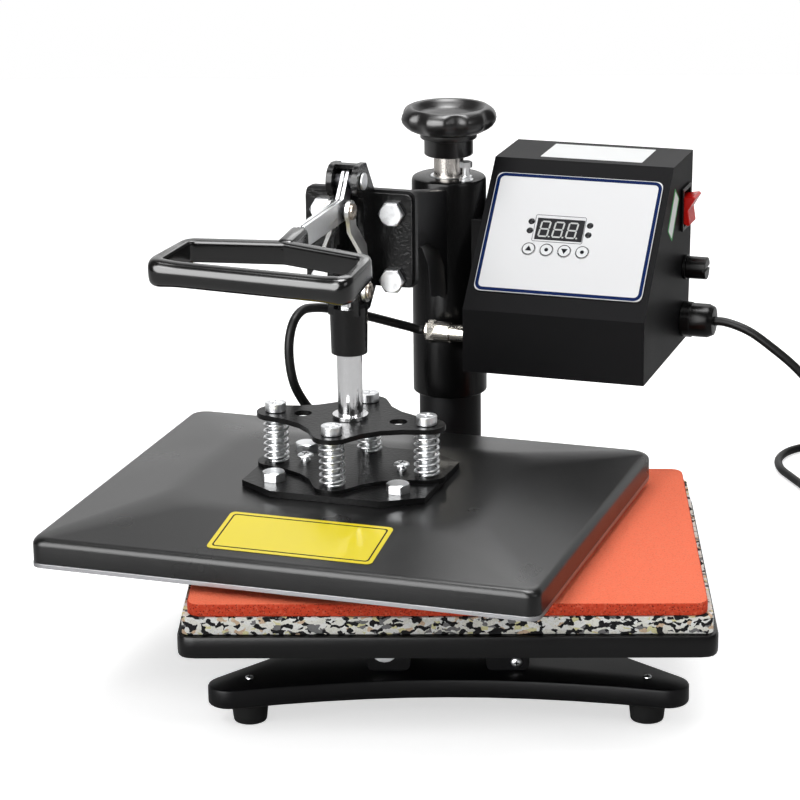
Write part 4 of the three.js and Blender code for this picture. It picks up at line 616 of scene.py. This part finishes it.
# Column, sleeve, bush and spindle, each a profile of radius and height
column = {
    "sleeve": [(26, 149.7), (29.6, 149.7), (30.4, 150.5), (30.4, 327.9), (29.5, 330), (27.4, 330.9), (15.4, 330.9),
               (15.4, 315), (26, 315), (26, 149.7)],
    "lugSize": (36, 10, 78), "lugMiddle": (0, 27.6, 261),
    "post": [(21, 33.3), (38, 33.3), (38, 39.2), (37.2, 40), (28.5, 40), (26.4, 41.2), (25.5, 43.5), (25.5, 302),
             (24.5, 303), (12.5, 303), (12.5, 233), (21, 233), (21, 33.3)],
    "bush": [(12.5, 311.2), (21, 311.2), (21, 314.7), (15, 314.7), (15, 331), (14.4, 331.5), (12.9, 331.5),
             (12.5, 331), (12.5, 311.2)],
    "spindle": [(0, 240), (11.2, 240), (12.15, 241), (12.15, 307.9), (17, 307.9), (17, 310.9), (12.15, 310.9),
                (12.15, 370.2), (0, 370.2)]}
sleeve = merged(lathe(column["sleeve"]), block(column["lugSize"], column["lugMiddle"]))
standIn("column_sleeve", "_tube", sleeve, armFrame, "sleevePaint", 30.0, 0.0004)
standIn("column_post", "_tube", lathe(column["post"]), columnFrame, "blackPowder", 30.0)
standIn("thrust_bush", "_ring", lathe(column["bush"], 64), columnFrame, "zinc", 30.0)
standIn("spindle", "_rod", lathe(column["spindle"], 64), columnFrame, "turnedSteel", 30.0)

# knob: a dished head with seven notches in its rim
knob = {"notches": 7, "first": -80.0, "reach": 15.5, "depth": 3.4, "hub": 24.0, "radius": 38.9, "crest": 388,
        "lip": (30.4, 388.2), "fade": 3.4,
        "profile": [
            (0, 370.5), (12.45, 370.5), (12.45, 348.5), (19.0, 348.5), (19.8, 349.3), (19.8, 361.6), (20.5, 362.3),
            (22.5, 362.3), (23.0, 362.8), (23.0, 366.6), (24.6, 367.4), (28.5, 368.3), (32.6, 370.1), (36.0, 372.9),
            (38.2, 376.0), (38.9, 379.0), (38.4, 382.0), (36.9, 384.7), (34.6, 386.8), (32.2, 388.0), (30.4, 388.2),
            (28.8, 387.4), (27.0, 385.4), (25.0, 383.0), (23.0, 381.3), (20.0, 380.3), (13.0, 379.7), (0, 379.5)]}
mesh = lathe(knob["profile"], 224)
spacing = 360 / knob["notches"]
for v in mesh.verts:
    radius = math.hypot(v.co.x, v.co.y)
    if radius > knob["hub"] and v.co.z < knob["crest"]:
        outward = min((radius - knob["hub"]) / (knob["radius"] - knob["hub"]), 1.0)
        lipRadius, lipTop = knob["lip"]
        below = min(max((lipTop - v.co.z) / knob["fade"], 0.0), 1.0) if radius > lipRadius else 0.0
        offset = (math.degrees(math.atan2(v.co.y, v.co.x)) - knob["first"] + spacing / 2) % spacing - spacing / 2
        notch = math.cos(math.pi / 2 * min(abs(offset) / knob["reach"], 1.0)) ** 1.5
        kept = 1 - knob["depth"] * outward * below * notch / radius
        v.co.x *= kept
        v.co.y *= kept
standIn("pressure_knob", "_head", mesh, columnFrame, "knobPlastic", 50.0)
lockScrew = {"place": (12.6, 18.6, 330.9), "head": (5.2, 4.8), "headFoot": 10.6,
             "stem": [(0, 0), (5.8, 0), (5.8, 1.0), (4.8, 1.6), (4.8, 3.6), (3.0, 4.0), (3.0, 10.8), (0, 10.8)]}
lock = merged(lathe(lockScrew["stem"], 32), hexHead(*lockScrew["head"]), moved(z=lockScrew["headFoot"]))
piece("sleeve_lock_screw", lock, armFrame @ moved(*lockScrew["place"]), "arm", "zinc_steel", "zinc", (), 30.0)
print("column done")

# Arm and toggle clamp
dressed("press_arm", "blackPowder", 0.0006)
dressed("clamp_frame", "castPaint", 0.0009, 32.0, 3)
clampBolt = {"a": 214.0, "b": 27.0, "levels": {"upper": 355.0, "lower": 304.0}, "head": (9.9, 5.9), "headFoot": 11.6,
             "nut": (10.2, 5.8), "nutFoot": -0.3,
             "shank": [(0, -7.4), (4.0, -7.4), (4.8, -6.6), (4.8, 11.6), (0, 11.6)]}
for level, z in clampBolt["levels"].items():
    for side, b in (("left", -clampBolt["b"]), ("right", clampBolt["b"])):
        bolt = merged(lathe(clampBolt["shank"], 32), hexHead(*clampBolt["head"]), moved(z=clampBolt["headFoot"]))
        merged(bolt, hexHead(*clampBolt["nut"]), moved(z=clampBolt["nutFoot"]) @ rotated(180, "X"))
        place = armFrame @ moved(clampBolt["a"], b, z) @ rotated(90, "Y") @ rotated(30, "Z")
        standIn(f"clamp_bolt_{level}_{side}", "_hex", bolt, place, "zincHead", 25.0, 0.0002)
dressed("top_pin", "zinc")
dressed("link_pair", "zincWorn")

# lever: two strips side by side, cranked from the top pin to the link's rivet and on to the handle
lever = {"topPin": (250.0, 384.0), "rivet": (265.0, 364.5), "crankTurn": 37.6, "crankRadius": 6.6, "past": 2.4,
         "rivetRadius": 7.6, "endA": 348.0, "low": 357.3, "high": 373.5, "strip": 2.85, "outer": 3.2, "pinHole": 4.5,
         "rivetHole": 4.1, "tongueSize": (24, 5.0, 10.0), "tongueMiddle": (357.6, 0, 365.4), "pinSpacer": (6.0, 7.2),
         "rivetSpacer": (6.4, 5.7), "capsAt": ((265.0, 364.5, 9.0), (250.0, 301.0, 15.6)),
         "cap": [(0, 3.1), (2.6, 3.0), (4.2, 2.6), (4.9, 2.1), (5.9, 2.0), (6.1, 1.7), (6.1, 0), (0, 0)]}
lean = math.radians(lever["crankTurn"])
crankEdge = lever["rivet"][0] + (lever["crankRadius"]
                                 - (lever["high"] - lever["rivet"][1]) * math.sin(lean)) / math.cos(lean)
crankTop = (lever["topPin"][0] - lever["past"] * math.sin(lean), lever["topPin"][1] + lever["past"] * math.cos(lean))
leverOutline = (arc(crankTop, lever["crankRadius"], lever["crankTurn"], lever["crankTurn"] + 180, 14)
                + arc(lever["rivet"], lever["rivetRadius"], lever["crankTurn"] + 180, 270, 5)
                + [(lever["endA"], lever["low"]), (lever["endA"], lever["high"]), (crankEdge + 1.4, lever["high"]),
                   (crankEdge - 0.4, lever["high"] + 1.2)])
leverRings = [leverOutline, circle(lever["pinHole"], 24, lever["topPin"]),
              circle(lever["rivetHole"], 24, lever["rivet"])]
upright = rotated(90, "X")
strips = bmesh.new()
for side in (lever["outer"], lever["strip"] - lever["outer"]):
    merged(strips, plate(leverRings, lever["strip"]), moved(y=side) @ upright)
tongue = block(lever["tongueSize"], lever["tongueMiddle"])
# spacers between the strips and the fork ears, near black as painted shade in that gap
spacers = bmesh.new()
for (a, z), bore, (outer, reach) in ((lever["topPin"], lever["pinHole"], lever["pinSpacer"]),
                                     (lever["rivet"], lever["rivetHole"], lever["rivetSpacer"])):
    for turn in (-90, 90):
        ring = lathe([(bore, lever["outer"]), (outer, lever["outer"]), (outer, reach), (bore, reach),
                      (bore, lever["outer"])], 40)
        merged(spacers, ring, moved(a, 0, z) @ rotated(turn, "X"))
caps = bmesh.new()
for a, z, reach in lever["capsAt"]:
    for turn in (-1, 1):
        merged(caps, lathe(lever["cap"], 40), moved(a, -turn * reach, z) @ rotated(turn * 90, "X"))
for name, mesh, body, finish, stoodFor, edge in (
        ("lever_strips", strips, "lever", "zinc", ("lever_bar",), 0.0005),
        ("lever_tongue", tongue, "lever", "zinc", (), 0.0005),
        ("lever_spacers", spacers, "lever", "spacerPaintedShade", (), 0.0),
        ("link_rivet_caps", caps, "link", "rivetBrass", (), 0.0)):
    piece(name, mesh, armFrame, body, "zinc_steel", finish, stoodFor, 30.0, edge)
dressed("plunger_shaft", "polishedSteel", 0.0003, 30.0)
dressed("spider_plate", "platePaint", 0.0006)
dressed("mount_plate", "platePaint", 0.0006)

# handle loop: a round front bar and flat side and back bars under a thick dipped skin
handle = {"corners": [(0, 0), (13.5, -73), (71, -79), (71, 77), (13.5, 72)], "bars": [8.2, 8.6, 14.6, 8.6, 8.2],
          "heights": [16.5, 16.8, 18.0, 16.8, 16.5], "squareness": [6.0, 4.5, 2.35, 4.5, 6.0], "corner": 12.0,
          "place": (376.5, 0, 370.7), "tilt": 5.7, "skew": 4.5, "depth": 8.25, "arcSteps": 8, "front": 2,
          "frontSteps": 20, "frontMiddle": 63.7, "swell": 0.13, "swellInset": 7.0, "swellLength": 10.0,
          "cornerLoss": 0.8, "cornerLeast": 2.0, "halfSteps": 20}


def handleRing(mesh, share, inner):
    corners = [Vector(corner) for corner in handle["corners"]]
    count = len(corners)
    lines = []
    for i, (width, height, power) in enumerate(zip(handle["bars"], handle["heights"], handle["squareness"])):
        along = (corners[(i + 1) % count] - corners[i]).normalized()
        rise = math.copysign(abs(math.sin(share)) ** (2 / power), share) * height / 2
        inset = width / 2 * (1 - max(math.cos(share), 0.0) ** (2 / power))
        inset = width - inset if inner else inset
        lines.append((corners[i] + Vector((-along.y, along.x)) * inset, along, rise, inset))
    points = []
    for i in range(count):
        (p, u, zFrom, insetFrom), (q, w, zTo, insetTo) = lines[i - 1], lines[i]
        meet = p + u * ((q - p).cross(w) / u.cross(w))
        turn = u.angle(w)
        radius = max(handle["corner"] - handle["cornerLoss"] * (insetFrom + insetTo) / 2, handle["cornerLeast"])
        reach = radius * math.tan(turn / 2)
        start, end = meet - u * reach, meet + w * reach
        for step in range(handle["arcSteps"] + 1):
            t = step / handle["arcSteps"]
            point = start * (1 - t) ** 2 + meet * 2 * t * (1 - t) + end * t ** 2
            points.append(Vector((point.x, point.y, zFrom * (1 - t) + zTo * t)))
    last = (handle["front"] + 1) * (handle["arcSteps"] + 1) - 1
    run = [points[last].lerp(points[last + 1], k / handle["frontSteps"]) for k in range(1, handle["frontSteps"])]
    points[last + 1:last + 1] = run
    for point in points:
        aside = point.x - handle["frontMiddle"]
        if abs(aside) < handle["bars"][handle["front"]] / 2 + 0.1:
            end = corners[handle["front"] + (point.y > 0)].y
            past = (abs(point.y - end) - handle["swellInset"]) / handle["swellLength"]
            swell = handle["swell"] * math.exp(-past ** 2)
            point.x += aside * swell
            point.z += point.z * swell
    return closed(mesh, [mesh.verts.new(point) for point in points])


handleMesh = bmesh.new()
shares = [math.pi * (i / handle["halfSteps"] - 0.5) for i in range(handle["halfSteps"] + 1)]
handleRings = [handleRing(handleMesh, share, False) for share in shares]
handleRings += [handleRing(handleMesh, share, True) for share in reversed(shares[1:-1])]
for low, high in zip(handleRings, handleRings[1:] + handleRings[:1]):
    bmesh.ops.bridge_loops(handleMesh, edges=low + high)
bmesh.ops.remove_doubles(handleMesh, verts=handleMesh.verts, dist=1e-4)
bmesh.ops.dissolve_degenerate(handleMesh, edges=handleMesh.edges, dist=1e-4)
handlePlace = (armFrame @ moved(*handle["place"]) @ rotated(-handle["skew"], "Z") @ rotated(handle["tilt"], "Y")
               @ moved(z=-handle["depth"]))
standIn("handle_loop", "_skin", handleMesh, handlePlace, "dippedVinyl", 60.0)
neck = {"size": (36.0, 18.0), "corner": 6.0, "width": 12.5, "edge": 3.4, "place": (366.3, 6.25, 363.9), "lean": 5.0}
piece("handle_neck", outline(roundedCorners(*neck["size"], neck["corner"]), neck["width"], neck["edge"], 4),
      armFrame @ moved(*neck["place"]) @ upright @ rotated(-neck["lean"], "Z"), "lever", slotOf["handle_loop"],
      "dippedVinyl", (), 40.0)

# springs: round wire wound with closed ends
coilSpring = {"radius": 8.8, "wire": 1.05, "turns": 6, "height": 34.2, "keep": 0.85, "steps": 32, "closed": 0.7,
              "closedRise": 0.8, "foot": 162.4}


def springMesh():
    path = []
    radius, wire, turns, closedTurns = (coilSpring[key] for key in ("radius", "wire", "turns", "closed"))
    for i in range(round((turns + 2 * closedTurns) * coilSpring["steps"]) + 1):
        turned = i / coilSpring["steps"]
        share = min(max((turned - closedTurns) / turns, 0), 1)
        ends = min(turned / closedTurns, 1) + min(max(turned - closedTurns - turns, 0) / closedTurns, 1)
        lift = wire * coilSpring["closedRise"]
        z = wire + lift * ends + (coilSpring["height"] - 4 * lift) * share
        angle = 2 * math.pi * turned
        path.append(Vector((radius * math.cos(angle), radius * math.sin(angle), z)))
    return tube(path, wire, 10)


for side, (a, b) in {"front": (293, 0), "rear": (207, 0), "left": (250, -60), "right": (250, 60)}.items():
    place = armFrame @ moved(a, b, coilSpring["foot"])
    wire = standIn("spring_" + side, "_wire", springMesh(), place, "zinc", 60.0)
    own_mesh(wire)
    dressed("guide_screw_" + side, "zinc", 0.0004)

# small screws that stand on the mount plate, and the zinc heads of its four bolts
plateScrew = {"a": 245.0, "b": 38.5, "radius": 6.2, "rise": 1.9, "foot": 161.8,
              "stem": [(0, 0), (3.6, 0), (3.6, 1.2), (2.4, 1.2), (2.4, 4.2), (0, 4.2)]}
mountBolt = {"a": 36.0, "b": 49.0, "foot": 158.8, "head": (9.3, 7.0)}
for number, side in enumerate((-1, 1), 1):
    place = armFrame @ moved(plateScrew["a"], side * plateScrew["b"], plateScrew["foot"])
    stem = lathe(plateScrew["stem"], 24)
    piece(f"plate_screw_stem_{number}", stem, place, "platen", "zinc_steel", "zinc", (), 30.0)
    screwAt(f"plate_screw_{number}", place @ moved(z=plateScrew["stem"][-1][1]), plateScrew, "platen")
for number, (alongArm, side) in enumerate(((1, -1), (1, 1), (-1, -1), (-1, 1)), 1):
    place = armFrame @ moved(press["platenA"] + alongArm * mountBolt["a"], side * mountBolt["b"], mountBolt["foot"])
    piece(f"mount_bolt_{number}", hexHead(*mountBolt["head"]), place @ rotated(30, "Z"), "platen", "zinc_steel",
          "zinc", (), 25.0, 0.0002)
print("clamp done")

# Upper platen: a folded sheet with a rounded rim, a slope all round and a flat crown
cover = {"halfA": 163.3, "halfB": 193.3, "corner": 10.0, "cornerGrowth": 0.35, "bottom": 122.8, "rim": 141.7,
         "crown": 153.5, "crownInset": 74.0, "rimRound": 6.0, "wall": 2.0, "softness": 9.0, "bossAt": (-73, -45),
         "boss": [(0, 153), (7.6, 153), (7.6, 158.6), (6.9, 160.2), (5.2, 160.5), (0, 160.5)], "roundSteps": 6,
         "insets": [8, 14, 22, 31, 40, 48, 54, 58, 61, 64, 67, 70, 73, 76, 79, 82, 85, 88, 92]}
climb = (cover["crown"] - cover["rim"]) / (cover["crownInset"] - cover["rimRound"])


def coverHeight(inward):
    if inward < cover["rimRound"]:
        share = 1 - inward / cover["rimRound"]
        return cover["rim"] - cover["rimRound"] * (1 - math.sqrt(max(0.0, 1 - share * share)))
    past = inward - cover["crownInset"]
    ease = cover["softness"]
    if past < -ease:
        return cover["rim"] + climb * (inward - cover["rimRound"])
    if past > ease:
        return cover["crown"]
    return cover["crown"] - climb * (ease - past) ** 2 / (4 * ease)


def coverRing(mesh, inward, z, wall=0.0):
    width, length = (2 * (cover[half] - inward - wall) for half in ("halfA", "halfB"))
    points = roundedCorners(width, length, cover["corner"] + cover["cornerGrowth"] * inward, 8)
    ring = [mesh.verts.new((x, y, z)) for x, y in points]
    return closed(mesh, ring), ring


coverMesh = bmesh.new()
rounding = [math.pi / 2 * (i + 1) / cover["roundSteps"] for i in range(cover["roundSteps"])]
insets = [cover["rimRound"] * (1 - math.cos(angle)) for angle in rounding] + cover["insets"]
outerRings = [coverRing(coverMesh, 0.0, cover["bottom"]), coverRing(coverMesh, 0.0, cover["rim"] - cover["rimRound"])]
outerRings += [coverRing(coverMesh, inward, coverHeight(inward)) for inward in insets]
innerRings = [coverRing(coverMesh, inward, coverHeight(inward) - cover["wall"], cover["wall"]) for inward in insets]
innerRings = [coverRing(coverMesh, 0.0, cover["bottom"], cover["wall"])] + innerRings
for rings in (outerRings, innerRings):
    for (low, _), (high, _) in zip(rings, rings[1:]):
        bmesh.ops.bridge_loops(coverMesh, edges=low + high)
    coverMesh.faces.new(rings[-1][1])
bmesh.ops.bridge_loops(coverMesh, edges=outerRings[0][0] + innerRings[0][0])
merged(coverMesh, lathe(cover["boss"], 40), moved(*cover["bossAt"]))
standIn("platen_cover", "_skin", coverMesh, armFrame @ moved(press["platenA"]), "blackSheet", 40.0)
dressed("heat_plate", "dullAluminium", 0.0004)


def flatPrint(name, mesh, place, ink, body="arm"):
    piece(name, mesh, place, body, "white_film", ink)


# blank yellow label with a thin printed line, on the front slope of the cover
sticker = {"middle": (372.25, 3.0), "run": 53.5, "width": 126.0, "corner": 4.0, "line": 1.1, "inset": 3.2,
           "thick": 0.25, "lineThick": 0.1, "above": 0.15}
stickerTilt = math.atan(climb)
stickerLength = sticker["run"] / math.cos(stickerTilt)
stickerHeight = coverHeight(press["platenA"] + cover["halfA"] - sticker["middle"][0]) + sticker["above"]
stickerPlace = armFrame @ moved(*sticker["middle"], stickerHeight) @ Matrix.Rotation(stickerTilt, 4, "Y")
stickerEdge, lineOuter, lineInner = (
    roundedCorners(stickerLength - 2 * gap, sticker["width"] - 2 * gap, sticker["corner"] - 0.4 * gap)
    for gap in (0.0, sticker["inset"], sticker["inset"] + sticker["line"]))
flatPrint("cover_label", outline(stickerEdge, sticker["thick"]), stickerPlace, "labelYellow", "platen")
flatPrint("cover_label_line", plate((lineOuter, lineInner), sticker["lineThick"], bridged=True),
          stickerPlace @ moved(z=sticker["thick"]), "inkDarkAndPaintedShade", "platen")

# Control box
for node, finish, edge in (
        ("box_shell", "boxPaint", 0.0013), ("box_back", "boxPaint", 0.0004), ("fascia", "whiteFilm", 0.0003),
        ("display_module", "windowTint", 0.0003), ("control_board", "boardGreen", 0.0002),
        ("switch_bezel", "housingPlastic", 0.0005), ("rocker", "switchRed", 0.0006),
        *((f"key_{n}", "keyPlastic", 0.0003) for n in range(1, 5)), ("heater_socket", "nickel", 0.0003),
        ("heater_plug", "nickel", 0.0003), ("fuse_holder", "housingPlastic", 0.0003),
        ("fuse_cap", "housingPlastic", 0.0004), ("cable_gland", "housingPlastic", 0.0006)):
    dressed(node, finish, edge)
print("box done")

# printed border of the front film, and the thin line round its window
film = {"face": 1.3, "lineThick": 0.12, "frames": (
    ("film_border", (107.5, 71.2), (137.0, 106.6), 6.5, 2.8, "inkBlue"),
    ("window_outline", (98.8, 76.5), (42.0, 24.2), 1.6, 0.5, "inkGrey"))}
for name, middle, (width, height), corner, line, ink in film["frames"]:
    rings = [roundedCorners(width - 2 * gap, height - 2 * gap, corner - gap) for gap in (0, line)]
    flatPrint(name, plate(rings, film["lineThick"], bridged=True), panelFrame @ moved(*middle, film["face"]), ink)

# blank labels: a white one on top of the box, a green-edged one beside the switch
topLabel = {"size": (48.0, 84.9), "place": (-55.5, 110.75, 343.5), "thick": 0.2}
sideLabel = {"size": (38.0, 19.0), "field": (35.4, 13.8), "place": (-22.2, 182.0, 304.4), "turn": 52.0, "thick": 0.15,
             "fieldThick": 0.1}
sidePlace = armFrame @ moved(*sideLabel["place"]) @ rotated(-90, "X") @ rotated(sideLabel["turn"], "Z")
for name, size, thick, place, ink in (
        ("box_top_label", topLabel["size"], topLabel["thick"], armFrame @ moved(*topLabel["place"]), "labelPaper"),
        ("box_side_label", sideLabel["size"], sideLabel["thick"], sidePlace, "labelGreen"),
        ("box_side_label_field", sideLabel["field"], sideLabel["fieldThick"],
         sidePlace @ moved(z=sideLabel["thick"]), "labelPaper")):
    flatPrint(name, outline(roundedCorners(*size, 0.8, 3), thick), place, ink)

# seven-bar digits, each with its point
digit = {"count": 3, "width": 7.2, "height": 13.4, "bar": 1.3, "mitre": 0.62, "spacing": 11.4, "aside": 0.8,
         "lean": 0.1, "thick": 0.1, "point": 0.75, "pointAside": 1.7, "place": (99.0, 76.0, 1.3)}


def bar(x0, y0, x1, y1):
    along = Vector((x1 - x0, y1 - y0)).normalized()
    side = Vector((-along.y, along.x)) * digit["bar"] / 2
    start = Vector((x0, y0)) + along * digit["bar"] * digit["mitre"]
    end = Vector((x1, y1)) - along * digit["bar"] * digit["mitre"]
    tip = along * digit["bar"] / 2
    return outline([start - tip, start - side, end - side, end + tip, end + side, start + side], digit["thick"])


digits = bmesh.new()
w, h = digit["width"] / 2, digit["height"] / 2
bars = [(-w, h, w, h), (-w, 0, w, 0), (-w, -h, w, -h), (-w, 0, -w, h), (w, 0, w, h), (-w, -h, -w, 0), (w, -h, w, 0)]
for n in range(digit["count"]):
    x = (n - (digit["count"] - 1) / 2) * digit["spacing"] - digit["aside"]
    for ends in bars:
        merged(digits, bar(*ends), moved(x))
    merged(digits, outline(circle(digit["point"], 16), digit["thick"]), moved(x + w + digit["pointAside"], -h))
for v in digits.verts:
    v.co.x += digit["lean"] * v.co.y
flatPrint("display_digits", digits, panelFrame @ moved(*digit["place"]), "digitGrey")

# indicator lamps, and the rings and marks of the keys
lampDome = [(0, 0.9), (1.4, 0.75), (2.3, 0.35), (2.7, 0), (0, 0)]
for number, (b, s) in enumerate([(75, 82), (75, 73.7), (123.5, 81.5), (123.5, 73)], 1):
    piece(f"lamp_{number}", lathe(lampDome, 24), panelFrame @ moved(b, s, film["face"]), "arm", "black_plastic",
          "windowTint")
keyPrint = {"s": 57.2, "face": 1.9, "rings": (5.3, 4.75), "thick": 0.15, "dot": circle(1.6, 24),
            "up": [(-2.7, -1.8), (2.7, -1.8), (0, 2.7)], "down": [(-2.7, 1.8), (0, -2.7), (2.7, 1.8)]}
for number, (b, mark) in enumerate(((77.1, "up"), (91.85, "dot"), (106.6, "down"), (121.35, "dot")), 1):
    name = f"key_{number}"
    place = panelFrame @ moved(b, keyPrint["s"], keyPrint["face"])
    ring = plate([circle(radius, 40) for radius in keyPrint["rings"]], keyPrint["thick"], bridged=True)
    piece(name + "_ring", ring, place, name, "key_plastic", "inkDarkAndPaintedShade")
    piece(name + "_mark", outline(keyPrint[mark], keyPrint["thick"]), place, name, "key_plastic", "inkDarkAndPaintedShade")
print("front panel done")

# Floor, light and background
light = {"seen": 1.0, "fill": 0.36, "mirrored": 1.0, "mirroredDark": 0.16, "wallStart": 0.5, "wallSoft": 0.35,
         "boxes": [((-0.56, -0.76, 0.34), 0.85, 0.06, 11.0), ((0.04, 0.04, 1.0), 0.95, 0.03, 16.0)]}
world = bpy.data.worlds.new("studio")
bpy.context.scene.world = world
world.use_nodes = True
sky = Graph(world.node_tree)
heading = sky.node("ShaderNodeTexCoord", output="Generated")
beyond = sky.node("ShaderNodeSeparateXYZ", output="Y", Vector=heading) - light["wallStart"]
wall = (beyond * (1 / light["wallSoft"])).clamped()
mirrored = wall * (light["mirrored"] - light["mirroredDark"]) + light["mirroredDark"]
for direction, rim, soft, glow in light["boxes"]:
    towards = sky.node("ShaderNodeVectorMath", output="Value", settings={"operation": "DOT_PRODUCT"}, _0=heading,
                       _1=Vector(direction).normalized())
    mirrored += ((towards - rim) * (1 / soft)).clamped() * glow
polished = (sky.ray("Glossy") + sky.ray("Transmission")).clamped()
direct = sky.ray("Camera") * (light["seen"] - light["fill"])
backdrop = sky.tree.nodes["Background"]
sky.put(backdrop, "Strength", direct + polished * (mirrored - light["fill"]) + light["fill"])
sky.put(backdrop, "Color", (1, 1, 1))

ground = {"size": 2.2, "below": 0.0004, "paper": (0.82, 0.82, 0.82), "inMirrors": (0.62, 0.62, 0.62), "glow": 0.62}
floorMesh = bmesh.new()
bmesh.ops.create_grid(floorMesh, x_segments=1, y_segments=1, size=ground["size"])
bmesh.ops.translate(floorMesh, vec=(0, 0, -ground["below"]), verts=floorMesh.verts)
paper = Finish("paleFloor", Roughness=0.9, Emission_Color=(1.0, 1.0, 1.0))
paper.feed("Base Color", paper.mix(paper.ray("Glossy"), ground["paper"], ground["inMirrors"]))
paper.feed("Emission Strength", paper.ray("Camera") * ground["glow"])
floor = built("floor", floorMesh, "paleFloor")

# place, width, depth and power of each lamp
studioLamps = {"key": ((-0.9, -1.3, 1.9), 0.9, 0.9, 14), "fill": ((1.5, -1.2, 1.1), 0.8, 0.8, 6),
               "overhead": ((0.0, -0.1, 1.9), 1.5, 0.5, 11), "rim": ((0.3, 1.3, 1.7), 1.2, 1.2, 11)}
aim = Vector((0, 0, 0.2))
for name, (place, width, depth, power) in studioLamps.items():
    data = bpy.data.lights.new(name, "AREA")
    data.shape = "RECTANGLE"
    data.size = width
    data.size_y = depth
    data.energy = power
    lamp = added(name, data)
    lamp.location = place
    lamp.rotation_euler = (aim - lamp.location).to_track_quat("-Z", "Y").to_euler()
bpy.context.scene.view_settings.view_transform = "Standard"
print("studio done")
